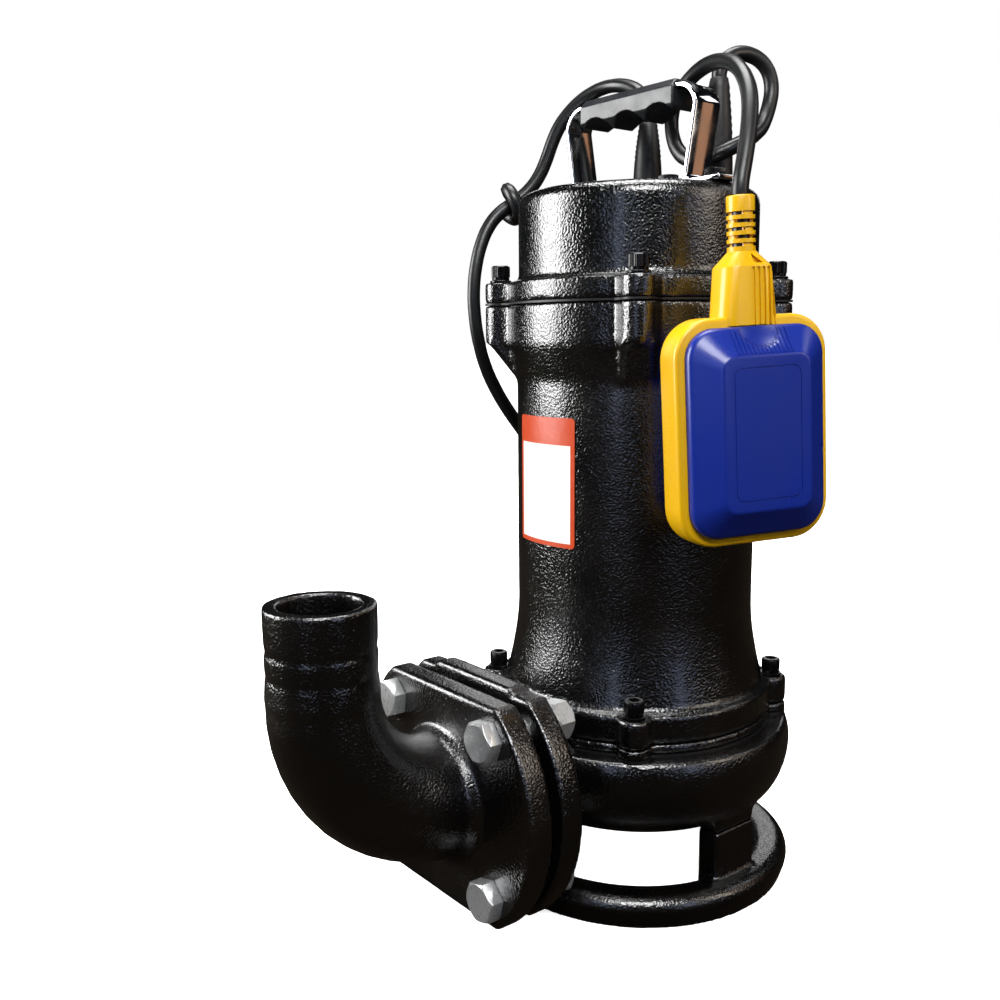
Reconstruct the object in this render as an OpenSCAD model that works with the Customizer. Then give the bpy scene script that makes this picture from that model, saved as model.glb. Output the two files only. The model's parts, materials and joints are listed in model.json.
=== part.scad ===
// Submersible sump pump: cast casing, bolted motor housing, discharge elbow with a hose tail,
// carrying handle, mains lead and a hanging float switch.
// Origin: centre of the stand's bottom on the shaft axis. +Z is up and +X is out of the discharge.

/* [Stand] */
// Outer radius of the ring that the pump stands on
ring_r = 87; // [80:0.5:96]
// Radial width of the ring
ring_w = 20; // [14:0.5:24]
// Height of the ring
ring_h = 17; // [12:0.5:22]
// Height of the pump casing above the ground
stand_h = 42; // [36:0.5:60]
// Width of each post between the ring and the casing
post_w = 30; // [20:0.5:36]
// Radial thickness of each post
post_t = 13; // [10:0.5:16]
// Distance from the ring's outer edge in to the middle of a post
post_inset = 18; // [14:0.5:20]

/* [Pump casing] */
// Largest outer radius of the casing
volute_r = 86.2; // [84:0.1:92]
// Height of the casing
volute_h = 45.2; // [42:0.1:60]
// Side wall of the casing
volute_wall = 6; // [4:0.5:8]
// Floor of the casing, which takes the stand's screws
casing_floor = 8; // [7:0.5:10]
// Roof of the casing round its mouth, which takes the housing's screws
casing_roof = 8; // [7:0.5:10]
// Radius of the suction eye
eye_r = 28; // [24:0.5:32]
// Radius of the hole in the top of the casing, which takes the seal plate
casing_mouth_r = 60; // [59:0.5:64]
// Outer radius of the discharge neck
neck_r = 33; // [30:0.5:36]
// Radius of the discharge bore at the flange
outlet_bore_r = 25; // [20:0.5:27]

/* [Discharge flange] */
// Distance from the shaft to the casing flange's outer face
flange_x = 114; // [112:0.5:124]
// Thickness of each flange
flange_t = 13; // [8:0.5:15]
// Radius of the flanges' round sides
flange_r = 69; // [66:0.5:74]
// Height of the flanges between their flat edges
flange_h = 108; // [100:0.5:124]
// Spacing of the four flange bolts, across and up
bolt_gap = 77.8; // [74:0.1:80]
// Thickness of the outlet gasket
outlet_gasket_t = 6; // [3:0.5:8]
// Length of the bar on top of the casing flange
bar_l = 60; // [40:1:80]

/* [Elbow] */
// Bend radius of the elbow's centreline
elbow_bend = 63; // [60:0.5:75]
// Outer radius of the elbow at its flange
elbow_r = 31; // [29:0.5:33]
// Wall of the elbow
elbow_wall = 6.5; // [5:0.5:8]
// Outer radius of the hose tail's round land
tail_r = 25.4; // [22:0.1:28]
// Length of the hose tail above the bend
tail_l = 43; // [34:0.5:60]
// Length of the round land at the mouth
land_l = 9; // [6:0.5:12]

/* [Motor housing] */
// Outer radius of the motor housing
housing_r = 64; // [64:0.5:70]
// Height of the motor housing
housing_h = 218; // [212:1:260]
// Wall of the motor housing
housing_wall = 6; // [4:0.5:7]
// How far the housing flares out above its lower flange
flare_w = 6; // [4:0.5:6]
// Thickness of the lower flange
lower_flange_t = 15; // [10:0.5:18]
// How far the lower flanges stand out from the housing between their lugs
lower_flange_w = 11; // [10:0.5:14]
// Distance from the housing's side out to the lower screws
lower_screw_w = 12; // [12:0.5:15]
// How far the upper flanges stand out from the housing between their lugs
upper_flange_w = 4.5; // [4:0.5:7]
// Distance from the housing's side out to the upper screws
upper_screw_w = 9; // [8:0.5:11]
// Length of the upper lugs below the joint
upper_lug_h = 21; // [16:0.5:26]
// Radius of each lug's round end
lug_r = 8.5; // [7.5:0.5:11]

/* [Seal plate and gaskets] */
// Thickness of the seal plate
plate_t = 5; // [4:0.5:8]
// Depth of the seal plate's spigot in the casing
spigot_h = 6; // [4:0.5:7]
// Thickness of the casing gasket
casing_gasket_t = 0.8; // [0.5:0.1:1.5]
// Thickness of the cover gasket
cover_gasket_t = 1; // [0.5:0.1:1.5]

/* [Top cover] */
// Height of the top cover
cover_h = 56; // [52:1:80]
// How far the cover's side stands in from the housing's side
cover_inset = 1; // [0:0.5:2]
// Wall of the cover
cover_wall = 7; // [5:0.5:8]
// Thickness of the cover's flange
cover_flange_t = 11; // [8:0.5:14]
// Radius of the cover's round top edge
cover_edge = 7; // [3:0.5:8]

/* [Screws] */
// Thread radius of the cap screws that hold the casings
screw_r = 3; // [2.5:0.25:3.5]
// Head radius of the cap screws
screw_head_r = 5; // [4.5:0.25:5.5]
// Head height of the cap screws
screw_head_h = 6; // [5:0.5:7]
// Length of thread in the threaded part
thread_grip = 14; // [10:0.5:16]
// Thread radius of the flange bolts
bolt_r = 6; // [5:0.25:6.25]
// Width across the flats of the flange bolts' heads
bolt_af = 18; // [16:0.5:19]
// Height of the flange bolts' heads
bolt_head_h = 7.5; // [6:0.5:9]
// Height of the flange nuts
nut_h = 10; // [8:0.5:11]
// Radial clearance round the screws in their holes
screw_gap = 0.25; // [0.15:0.05:0.4]

/* [Shaft and bearings] */
// Shaft radius in the impeller
hub_shaft_r = 8; // [7.5:0.5:8.5]
// Shaft radius in the seals
seal_shaft_r = 9; // [8.8:0.1:9.4]
// Bore radius of the lower bearing
lower_bore_r = 10; // [9.75:0.25:10.5]
// Outer radius of the lower bearing
lower_bearing_r = 23.5; // [22.5:0.5:25]
// Width of the lower bearing
lower_bearing_w = 14; // [12:0.5:15]
// Bore radius of the upper bearing
upper_bore_r = 7.5; // [7:0.25:8]
// Outer radius of the upper bearing
upper_bearing_r = 17.5; // [17:0.5:20]
// Width of the upper bearing
upper_bearing_w = 11; // [10:0.5:12]
// Number of balls in each bearing
ball_count = 8; // [7:1:9]
// Shaft radius in the rotor
rotor_shaft_r = 12; // [11.5:0.5:13]

/* [Motor] */
// Height of the rotor and stator packs
core_h = 70; // [50:1:90]
// Radius of the rotor
rotor_r = 29.8; // [27:0.1:33]
// Gap between the rotor and the stator
air_gap = 0.5; // [0.3:0.1:0.8]
// Width of the stator outside its slots
yoke_w = 13.7; // [12:0.1:16]
// Height of each winding head
winding_h = 20; // [14:0.5:24]

/* [Impeller] */
// Radius of the impeller
impeller_r = 58; // [52:0.5:58]
// Height of the impeller's vanes
vane_h = 20; // [14:0.5:20]
// Thickness of the impeller's disc
disc_t = 5; // [4:0.5:6]
// Thickness of each vane
vane_t = 7; // [5:0.5:9]
// Radius of the impeller's hub
impeller_hub_r = 15; // [13:0.5:17]

/* [Handle] */
// Width of the handle strap
strap_w = 18; // [14:0.5:24]
// Thickness of the handle strap
strap_t = 2.5; // [2:0.25:3]
// Height of the strap's top above the cover
strap_h = 49; // [44:0.5:70]
// Half the distance between the strap's legs at their top
strap_half = 46; // [44:0.5:48]
// Length of the grip
grip_l = 67; // [56:0.5:68]
// Width of the grip
grip_w = 22; // [20:0.5:28]
// Depth of the grip below the strap
grip_d = 15; // [12:0.5:18]

/* [Cables] */
// Diameter of the mains lead
lead_d = 8; // [8:0.1:8]
// Diameter of the float's cord
float_cord_d = 7.8; // [7.8:0.1:7.8]
// Radius of the rubber boots at the cover
boot_r = 8; // [7.5:0.25:10]
// Height of the mains lead's boot
lead_boot_h = 41; // [41:0.5:41]
// Height of the float cord's boot
float_boot_h = 57; // [57:0.5:57]
// Thickness of the plates that hold the boots
boot_plate_t = 2; // [1.5:0.25:3]

/* [Float switch] */
// Width of the float
float_w = 76; // [72:0.5:86]
// Height of the float's body
float_h = 103; // [98:0.5:116]
// Thickness of the float
float_t = 42.5; // [38:0.5:46]
// Thickness of the float's rim
rim_t = 16.5; // [12:0.5:18]
// Radius of the rim's corners
rim_corner = 18; // [14:0.5:24]
// Width of the flat panel on each shell
panel_w = 42; // [36:0.5:46]
// Height of the flat panel on each shell
panel_h = 68; // [60:0.5:74]
// Wall of the float's shells
shell_wall = 2.2; // [1.6:0.1:3]
// Radius of the steel ball in the float
ball_r = 9; // [7:0.25:9.5]
// Travel of the ball in the float
ball_travel = 28; // [20:1:30]

/* [Label] */
// Width of the blank sticker round the housing
label_w = 44; // [30:1:50]
// Height of the blank sticker
label_h = 66; // [50:1:80]
// Distance from the housing's upper joint down to the sticker
label_drop = 57; // [45:1:62]

/* [Hidden] */
$fn = 64;
round_fn = 96;
small_fn = 24;
eps = 0.01;
seat_gap = 0.05;
soft_gap = 0.3;
running_gap = 0.05;

paint = "#17181a";
zinc = "#b9bcc0";
black_oxide = "#202124";
chrome = "#d8dadd";
rubber = "#1b1b1d";
iron = "#3c3d3f";
steel = "#9a9da1";
copper = "#b06a35";
yellow = "#e8c11c";
blue = "#2440a8";

// Heights of the joints, from the ground up
z_mouth = stand_h + volute_h;
z_plate = z_mouth + casing_gasket_t;
z_housing = z_plate + plate_t;
z_lug_top = z_housing + lower_flange_t;
z_seam = z_housing + housing_h;
z_cover = z_seam + cover_gasket_t;
z_cover_lug = z_cover + cover_flange_t;
z_top = z_cover + cover_h;
label_z = z_seam - label_drop - label_h;

// Radii that follow the housing's
flare_r = housing_r + flare_w;
lower_flange_r = housing_r + lower_flange_w;
lower_screw_c = housing_r + lower_screw_w;
upper_flange_r = housing_r + upper_flange_w;
upper_screw_c = housing_r + upper_screw_w;
cover_r = housing_r - cover_inset;

// Casing: its widest point, its cavity and the discharge's height
casing_curve_r = 60;
z_wide = z_mouth - 9.9;
curve_down = z_wide - stand_h;
curve_up = 24;
outlet_z = z_wide - 4.3;
cavity_top_z = z_mouth - casing_roof;
neck_trim_r = lower_flange_r + 1.5;
flange_back_x = flange_x - flange_t;
elbow_face_x = flange_x + outlet_gasket_t;
elbow_front_x = elbow_face_x + flange_t;
tail_x = elbow_front_x + elbow_bend;
bend_z = outlet_z + elbow_bend;
tail_z = bend_z + tail_l;
tail_bore_r = tail_r - elbow_wall;
elbow_bore_r = elbow_r - elbow_wall;

// Lugs stand at 45 degrees to the discharge
lug_angles = [45, 135, 225, 315];
post_angles = [0, 90, 180, 270];
post_c = ring_r - post_inset;
head_clear = screw_head_r + 1.5;
washer_h = 1.2;
spring_washer_h = 1.8;
lock_washer_h = 2;
washer_r = screw_head_r + 0.8;
blind_gap = 0.7;
stand_grip = casing_floor - 0.8;

// Oil chamber, bearing hub and motor bore inside the housing
motor_bore_r = housing_r - housing_wall;
oil_h = 40;
web_t = 14;
z_oil_top = z_housing + oil_h;
z_web_top = z_oil_top + web_t;
hub_r = lower_bearing_r + 6.5;
z_lower_bearing = z_oil_top + 4;
z_hub_top = z_lower_bearing + lower_bearing_w;
z_oil_seal = z_oil_top - 9;
oil_seal_h = 8;
oil_seal_r = 17.5;
hub_drop = 11;
bracket_t = 7;
spigot_lip = 5;
z_bracket = z_seam - bracket_t - spigot_lip;
ledge_r = motor_bore_r + 2;
z_bracket_top = z_bracket + bracket_t;
spring_h = 2;
z_upper_bearing = z_bracket_top - 3 - spring_h - upper_bearing_w;
z_core = z_hub_top + 27;
z_core_top = z_core + core_h;
end_ring_h = 6;
slot_count = 24;
slot_w = 3.6;
stator_in_r = rotor_r + air_gap;
stator_out_r = motor_bore_r - seat_gap;
slot_d = motor_bore_r - stator_in_r - yoke_w;
plug_z = z_lug_top + 9;
plug_r = 4;
capacitor_r = 15;
capacitor_l = 68;
capacitor_y = 14;
terminal_w = 44;
terminal_pitch = 11;

// Impeller, nut and key on the lower end of the shaft
z_disc = z_mouth - spigot_h - 2.2 - disc_t;
z_vane = z_disc - vane_h;
z_hub_low = z_vane + 4.5;
z_hub_high = z_disc + disc_t + 1.5;
nut_af = 16;
impeller_nut_h = 7;
impeller_washer_h = 1.5;
nut_thread_r = 5;
z_nut = z_hub_low - impeller_washer_h - impeller_nut_h;
z_shaft_end = z_nut - 1;
key_w = 5;
key_h = 16;

// Mechanical seal in the oil chamber
seat_r = 17;
seat_h = 6;
z_seat = z_plate + 1;
z_face = z_seat + seat_h;
face_h = 6;
seal_head_r = 15;
seal_spring_h = 15;
z_collar = z_face + face_h + seal_spring_h;
collar_h = 3;
wire_r = 1;
seal_coils = 3;

// Handle
strap_low_half = strap_half - 6;
foot_out = 22;
strap_bend_r = 12;
foot_bend_r = 4;
handle_screw_y = strap_low_half + 12;
z_strap = z_top + strap_h;
grip_wall = 2.5;
grip_top_z = z_strap + grip_wall;
grip_low_z = z_strap - grip_d;
finger_r = 12;
finger_depth = 6.5;
hex_head_h = 4;
vent_xy = [9, 30];

// Cable boots on the cover
lead_boot_xy = [-25, -17];
float_boot_xy = [-30, 28];
boot_flange_h = 2.5;
boot_flange_r = boot_r + 3;
boot_stem_r = boot_r - 0.5;
boot_screw_r = 2;
boot_head_r = 3.6;
boot_head_h = 2.6;
boot_screw_c = boot_flange_r + 4;
lead_plate_turn = 40;
float_plate_turn = -43;
lead_boot_z = z_top + lead_boot_h;
float_boot_z = z_top + float_boot_h;

// Float switch: it hangs from the end of its cord
hang = [31, 93, 355];
hang_turn = -22;
hang_tilt = 3;
relief_h = 24;
relief_r = 7.2;
rib_pitch = 5.7;
rib_root_r = 5;
neck_h = 28.5;
neck_w_low = 29;
neck_w_high = 24;
neck_t = 20;
neck_corner = 7;
neck_shoulder = 6.5;
body_top = -relief_h - neck_h;
body_mid = body_top - float_h / 2;
shell_inset = 4.5;
shell_d = (float_t - rim_t) / 2;
shell_side = 3.2;
rim_w = 9;
track_wall = 1.6;
ball_gap = 0.3;
track_side = ball_r + track_wall + ball_gap;
ball_low = body_top - float_h + rim_w + track_wall + ball_r + 2;
lever_t = 1.2;
lever_z = ball_low + ball_travel + ball_r + 1.6;
pivot_r = 1;
pivot_x = ball_r + 3.4;
weight_w = 16;
weight_h = 22;
weight_cut = 7;

// Route of the mains lead, from its boot to the coil, then of the float's cord
lead_route = [[-25, -17, 409], [-25, -17, 412.6], [-25.4, -18.6, 418.6], [-26.4, -22.6, 424],
    [-27.6, -28, 428.2], [-28.8, -34.4, 431.4], [-29.6, -41.4, 433.8], [-29.6, -48.8, 435.2],
    [-28.4, -56.2, 435], [-26.2, -63.2, 433], [-23.2, -69.8, 429.2], [-19.6, -75.4, 423.4],
    [-16, -80, 416], [-13.2, -83.2, 407.2], [-10.8, -85.6, 398], [-7.4, -88, 388.8], [-3, -90.8, 381.4],
    [2.4, -94, 375.6], [8.4, -97, 371], [14.6, -99.4, 366.2], [20.6, -101.2, 359], [26, -102, 348.5],
    [30, -102, 336], [32, -102, 321.5], [31.5, -102, 307], [29, -102, 292.5], [24, -102.5, 278],
    [16.5, -103, 264.5], [7, -103, 251], [-4.5, -102.5, 237], [-16.5, -101, 221], [-28, -98.5, 203],
    [-38, -94.5, 183], [-46, -89.5, 160], [-51, -84, 136], [-54, -79, 112], [-55, -76, 88],
    [-55, -74.5, 64], [-55, -74, 46], [-55, -75, 34], [-54.9, -79.5, 21], [-54.6, -88, 11],
    [-54.2, -97.5, 6.2], [-54, -106, 5], [-54, -114, 5]];
float_route = [[-30, 28, 425], [-30, 28, 427], [-31.2, 28.4, 431], [-34, 29.2, 434.8], [-38, 30.4, 437.2],
    [-42.8, 31.8, 438.2], [-47.6, 33.4, 437.8], [-52.8, 35.4, 435.6], [-56.6, 37.2, 431.6],
    [-58.6, 38.4, 426.2], [-58.8, 39, 420.2], [-57.2, 39.4, 414.4], [-54.4, 40, 408.8],
    [-50.8, 41, 404], [-46.4, 42.6, 400], [-41.4, 44.2, 396.8], [-36.2, 45, 394], [-30.2, 44.8, 391.2],
    [-24, 42.8, 388.2], [-18.8, 39, 385.2], [-15.6, 33.4, 383.2], [-14.2, 27, 382.8], [-14, 20.4, 384.8],
    [-14.6, 14.6, 389.4], [-15.6, 10.4, 395.4], [-16.4, 8.2, 402.2], [-16.8, 8.2, 409.2],
    [-16.6, 10.8, 415.6], [-15.8, 16, 420.4], [-14, 23.2, 423.9], [-11.2, 32, 426], [-8, 41.2, 426.4],
    [-4, 51.4, 425], [0, 60.8, 421.8], [4, 68.8, 416.8], [8, 75.6, 410.6], [11.8, 80.8, 404],
    [15.2, 84.4, 397.6], [18.4, 87, 391.2], [21.4, 89, 384.8], [24.2, 90.5, 378.4], [26.6, 91.5, 372.2],
    [28.8, 92.3, 366.6], [30.4, 92.8, 362], [31.1, 93, 358], [31, 93, 355]];

// Round coil of the mains lead on the ground behind the pump
coil_c = [-123, -122];
coil_out_r = 69;
coil_pitch = 9.4;
coil_rise = 10.3;
coil_low_z = 5;
coil_spiral = 4.5;
coil_layers = 4;
coil_rings = 24;
coil_lead_in = 8;
tail_climb = 0.5;
tail_turn = 0.25;
tail_end_r = 36;
plug_body_r = 13;
plug_body_l = 52;
pin_r = 2.4;
pin_l = 19;
pin_gap = 19;
z_plug = coil_low_z + (coil_layers - 1) * coil_rise + lead_d / 2 + plug_body_r + 0.6;

function polar(r, a) = [r * cos(a), r * sin(a)];
function unit(v) = v / norm(v);
function arc(c, r, a0, a1, n) = [for (i = [0 : n]) c + polar(r, a0 + (a1 - a0) * i / n)];
// Points of an ellipse's arc, from angle a0 to a1
function oval(c, a, b, a0, a1, n) =
    [for (i = [0 : n]) let (t = a0 + (a1 - a0) * i / n) [c[0] + a * cos(t), c[1] + b * sin(t)]];
// Least distance between points of a path that are at least skip points apart
function least_gap(p, skip) =
    min([for (i = [0 : len(p) - 1]) for (j = [i + skip : len(p) - 1]) norm(p[i] - p[j])]);

// Side directions of a tube's rings, carried along its path so that they don't twist
function carried(p, u, i) =
    let (d = unit(p[min(i + 1, len(p) - 1)] - p[max(i - 1, 0)])) unit(u - d * (u * d));
function sides(p, u0) = [for (i = 0, u = carried(p, u0, 0); i < len(p);
    i = i + 1, u = carried(p, u, min(i, len(p) - 1))) u];

// A closed tube of n sides and radius r swept along the points p
module tube(p, r, n, u0) {
    u = sides(p, u0);
    rings = [for (i = [0 : len(p) - 1])
        let (d = unit(p[min(i + 1, len(p) - 1)] - p[max(i - 1, 0)]), v = cross(d, u[i]))
        for (k = [0 : n - 1]) let (a = 360 * (k + 0.5) / n) p[i] + r * (cos(a) * u[i] + sin(a) * v)];
    walls = [for (i = [0 : len(p) - 2]) for (k = [0 : n - 1])
        let (a = i * n + k, b = i * n + (k + 1) % n)
        each [[a, b, b + n], [a, b + n, a + n]]];
    low = [for (k = [1 : n - 2]) [0, k + 1, k]];
    e = (len(p) - 1) * n;
    high = [for (k = [1 : n - 2]) [e, e + k, e + k + 1]];
    faces = [for (f = concat(walls, low, high)) [f[0], f[2], f[1]]];
    polyhedron(rings, faces, convexity = 10);
}

module at_angles(angles, c) {
    for (a = angles) rotate([0, 0, a]) translate([c, 0, 0]) children();
}

// Outline of a flange with four lugs, before its holes
module lug_outline(flange_edge, c) {
    circle(r = flange_edge, $fn = round_fn);
    for (a = lug_angles) rotate(a) {
        translate([c, 0]) circle(r = lug_r, $fn = 32);
        polygon([[flange_edge - 8, -lug_r - 7], [c - 1, -lug_r], [c - 1, lug_r],
                 [flange_edge - 8, lug_r + 7]]);
    }
}

module cap_screws(c, z, length) {
    at_angles(lug_angles, c) {
        translate([0, 0, z]) difference() {
            cylinder(r = washer_r, h = washer_h);
            translate([0, 0, -1]) cylinder(r = screw_r + screw_gap, h = washer_h + 2);
        }
        translate([0, 0, z + washer_h + eps]) difference() {
            cylinder(r = screw_head_r - 0.3, h = spring_washer_h - 2 * eps);
            translate([0, 0, -1]) cylinder(r = screw_r + screw_gap, h = spring_washer_h + 2);
        }
        difference() {
            union() {
                translate([0, 0, z + washer_h + spring_washer_h])
                    cylinder(r = screw_head_r, h = screw_head_h);
                translate([0, 0, z - length])
                    cylinder(r = screw_r, h = length + washer_h + spring_washer_h + 1);
            }
            translate([0, 0, z + washer_h + spring_washer_h + screw_head_h - 3])
                cylinder(r = screw_r, h = 4, $fn = 6);
        }
    }
}

// Four posts on a round-topped ring, with a screw up through each post
module base_stand() color(paint) difference() {
    union() {
        rotate_extrude($fn = round_fn) ring_section();
        at_angles(post_angles, post_c) {
            translate([-post_t / 2, -post_w / 2, ring_h - 6]) cube([post_t, post_w, stand_h - ring_h + 6]);
        }
    }
    at_angles(post_angles, post_c) {
        translate([0, 0, -1]) cylinder(r = screw_r + screw_gap, h = stand_h + 2);
        translate([0, 0, -1]) cylinder(r = head_clear, h = ring_h - 3);
    }
}

module ring_section() {
    edge = ring_h * 0.4;
    polygon(concat([[ring_r - ring_w + 2, 0], [ring_r - 3, 0]],
        arc([ring_r - edge, ring_h - edge], edge, -20, 90, 6),
        arc([ring_r - ring_w + edge, ring_h - edge], edge, 90, 200, 6)));
}

module stand_screws() color(black_oxide) at_angles(post_angles, post_c) {
    translate([0, 0, ring_h - 4]) mirror([0, 0, 1]) difference() {
        cylinder(r = screw_head_r, h = screw_head_h);
        translate([0, 0, screw_head_h - 3]) cylinder(r = 2.5, h = 4, $fn = 6);
    }
    translate([0, 0, ring_h - 4 - eps])
        cylinder(r = screw_r, h = stand_h - ring_h + 4 + stand_grip - blind_gap);
}

// Spiral casing with its suction eye, lugs, post pads, discharge neck and flange
module volute_casing() color(paint) difference() {
    union() {
        rotate_extrude($fn = round_fn) polygon(concat([[eye_r, stand_h]],
            oval([casing_curve_r, z_wide], volute_r - casing_curve_r, curve_down, -90, 0, 14),
            oval([casing_curve_r, z_wide], volute_r - casing_curve_r, curve_up,
                 3, asin((z_mouth - z_wide) / curve_up), 4),
            [[eye_r, z_mouth]]));
        translate([0, 0, z_mouth - lower_flange_t]) linear_extrude(lower_flange_t)
            lug_outline(lower_flange_r, lower_screw_c);
        at_angles(post_angles, post_c)
            translate([-post_t / 2, -post_w / 2, stand_h]) cube([post_t, post_w, curve_down * 0.6]);
        translate([casing_curve_r, 0, outlet_z]) rotate([0, 90, 0])
            cylinder(r = neck_r, h = flange_x - casing_curve_r);
        translate([flange_back_x, 0, outlet_z]) rotate([90, 0, 90])
            linear_extrude(flange_t) flange_outline();
        translate([flange_back_x + 1, -bar_l / 2, outlet_z + flange_h / 2 - 4])
            cube([flange_t - 1, bar_l, 6.5]);
    }
    casing_cavity();
    translate([0, 0, stand_h - 1]) cylinder(r = eye_r, h = casing_floor + 3);
    translate([0, 0, cavity_top_z - 1]) cylinder(r = casing_mouth_r, h = casing_roof + 2);
    translate([0, 0, z_mouth]) cylinder(r = neck_trim_r, h = neck_r);
    cylinder(r = neck_trim_r, h = stand_h);
    neck_bore();
    flange_holes(flange_back_x - 1, flange_t + 2);
    at_angles(lug_angles, lower_screw_c)
        translate([0, 0, cavity_top_z + 1]) cylinder(r = screw_r + screw_gap, h = casing_roof);
    at_angles(post_angles, post_c)
        translate([0, 0, stand_h - 1]) cylinder(r = screw_r + screw_gap, h = stand_grip + 1);
}

// The water passage inside the casing
module casing_cavity() {
    rotate_extrude($fn = round_fn) polygon(concat([[0, stand_h + casing_floor]],
        oval([casing_curve_r - 4, z_wide], volute_r - casing_curve_r + 4 - volute_wall,
             curve_down - casing_floor, -90, 0, 10),
        [[volute_r - volute_wall - 3, cavity_top_z], [0, cavity_top_z]]));
}

// The outlet's bore, which stays under the casing's roof until it is past the housing
module neck_bore() {
    intersection() {
        translate([casing_curve_r, 0, outlet_z]) rotate([0, 90, 0]) cylinder(r = outlet_bore_r, h = flange_x);
        translate([casing_curve_r - 1, -neck_r, 0]) cube([neck_trim_r, 2 * neck_r, cavity_top_z]);
    }
    translate([neck_trim_r + casing_roof, 0, outlet_z]) rotate([0, 90, 0])
        cylinder(r = outlet_bore_r, h = flange_x);
}

module flange_outline() {
    intersection() {
        circle(r = flange_r, $fn = round_fn);
        square([2 * flange_r + 2, flange_h], center = true);
    }
}

module flange_holes(x, length) {
    for (y = [-1, 1]) for (z = [-1, 1])
        translate([x, y * bolt_gap / 2, outlet_z + z * bolt_gap / 2]) rotate([0, 90, 0])
            cylinder(r = bolt_r + screw_gap, h = length);
}

module casing_gasket() color(rubber) translate([0, 0, z_mouth]) linear_extrude(casing_gasket_t)
    difference() {
        lug_outline(lower_flange_r, lower_screw_c);
        circle(r = casing_mouth_r, $fn = round_fn);
        for (a = lug_angles) rotate(a) translate([lower_screw_c, 0]) circle(r = screw_r + screw_gap);
    }

// Open impeller: a disc, two spiral vanes and a hub with two straight ribs
module impeller() color(iron) difference() {
    union() {
        translate([0, 0, z_disc]) cylinder(r = impeller_r, h = disc_t, $fn = round_fn);
        translate([0, 0, z_hub_low]) cylinder(r = impeller_hub_r, h = z_hub_high - z_hub_low);
        for (a = [0, 180]) rotate([0, 0, a]) {
            translate([0, 0, z_vane]) linear_extrude(vane_h + 1) spiral_vane();
            translate([impeller_hub_r - 2, -2, z_vane + 7]) cube([14, 4, vane_h - 6]);
        }
    }
    translate([0, 0, z_hub_low - 1]) cylinder(r = hub_shaft_r + running_gap, h = z_hub_high - z_hub_low + 2);
    translate([hub_shaft_r - 1, -key_w / 2 - seat_gap, z_hub_low - 1])
        cube([1 + key_w / 2, key_w + 2 * seat_gap, z_hub_high - z_hub_low + 2]);
}

module spiral_vane() {
    sweep = 230;
    inner_r = impeller_hub_r + 11;
    outer_r = impeller_r - 1;
    n = 22;
    function vane_r(i) = inner_r + (outer_r - vane_t - inner_r) * pow(i / n, 0.85);
    polygon(concat([for (i = [0 : n]) polar(vane_r(i), sweep * i / n)],
        [for (i = [n : -1 : 0]) polar(vane_r(i) + vane_t * (0.55 + 0.45 * i / n), sweep * i / n)]));
}

module impeller_nut() color(zinc) {
    translate([0, 0, z_nut]) difference() {
        cylinder(r = nut_af / sqrt(3), h = impeller_nut_h, $fn = 6);
        translate([0, 0, -1]) cylinder(r = nut_thread_r + seat_gap, h = impeller_nut_h + 2);
    }
    translate([0, 0, z_hub_low - impeller_washer_h]) difference() {
        cylinder(r = 10.5, h = impeller_washer_h);
        translate([0, 0, -1]) cylinder(r = nut_thread_r + seat_gap, h = impeller_washer_h + 2);
    }
}

module impeller_key() color(steel)
    translate([hub_shaft_r - key_w / 2, -key_w / 2, z_hub_low + 3])
        cube([key_w - 0.2, key_w, key_h]);

// Plate between the casing and the oil chamber, which carries the fixed half of the seal
module seal_plate() color(paint) difference() {
    union() {
        translate([0, 0, z_plate]) linear_extrude(plate_t) lug_outline(lower_flange_r, lower_screw_c);
        translate([0, 0, z_plate - casing_gasket_t - spigot_h])
            cylinder(r = casing_mouth_r - 0.2, h = spigot_h + casing_gasket_t + 1);
        translate([0, 0, z_plate]) cylinder(r = seat_r + 6, h = seat_h + 1);
    }
    translate([0, 0, z_plate - spigot_h - 2]) cylinder(r = seal_shaft_r + 1, h = spigot_h + 20);
    translate([0, 0, z_seat]) cylinder(r = seat_r + seat_gap, h = seat_h + 1);
    at_angles(lug_angles, lower_screw_c)
        translate([0, 0, z_plate - 1]) cylinder(r = screw_r + screw_gap, h = plate_t + 2);
}

module seal_seat() color("#e9e4d8") translate([0, 0, z_seat]) difference() {
    cylinder(r = seat_r, h = seat_h);
    translate([0, 0, -1]) cylinder(r = seal_shaft_r + 0.6, h = seat_h + 2);
}

// Carbon face ring and the collar that the spring stands against
module seal_head() color("#2a2b2e") {
    translate([0, 0, z_face]) difference() {
        cylinder(r = seal_head_r, h = face_h);
        translate([0, 0, -1]) cylinder(r = seal_shaft_r + seat_gap, h = face_h + 2);
    }
    translate([0, 0, z_collar]) difference() {
        cylinder(r = seal_head_r, h = collar_h);
        translate([0, 0, -1]) cylinder(r = seal_shaft_r + seat_gap, h = collar_h + 2);
    }
}

module seal_spring() color(steel) {
    rise = seal_spring_h - 2 * wire_r - 0.2;
    n = 14;
    path = [for (i = [0 : seal_coils * n]) let (a = 360 * i / n)
        [12.5 * cos(a), 12.5 * sin(a), z_face + face_h + wire_r + 0.1 + rise * i / (seal_coils * n)]];
    tube(path, wire_r, 6, [0, 0, 1]);
}

module oil_seal() color(rubber) translate([0, 0, z_oil_seal]) difference() {
    cylinder(r = oil_seal_r, h = oil_seal_h);
    translate([0, 0, -1]) cylinder(r = seal_shaft_r + running_gap, h = oil_seal_h + 2);
}

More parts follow.
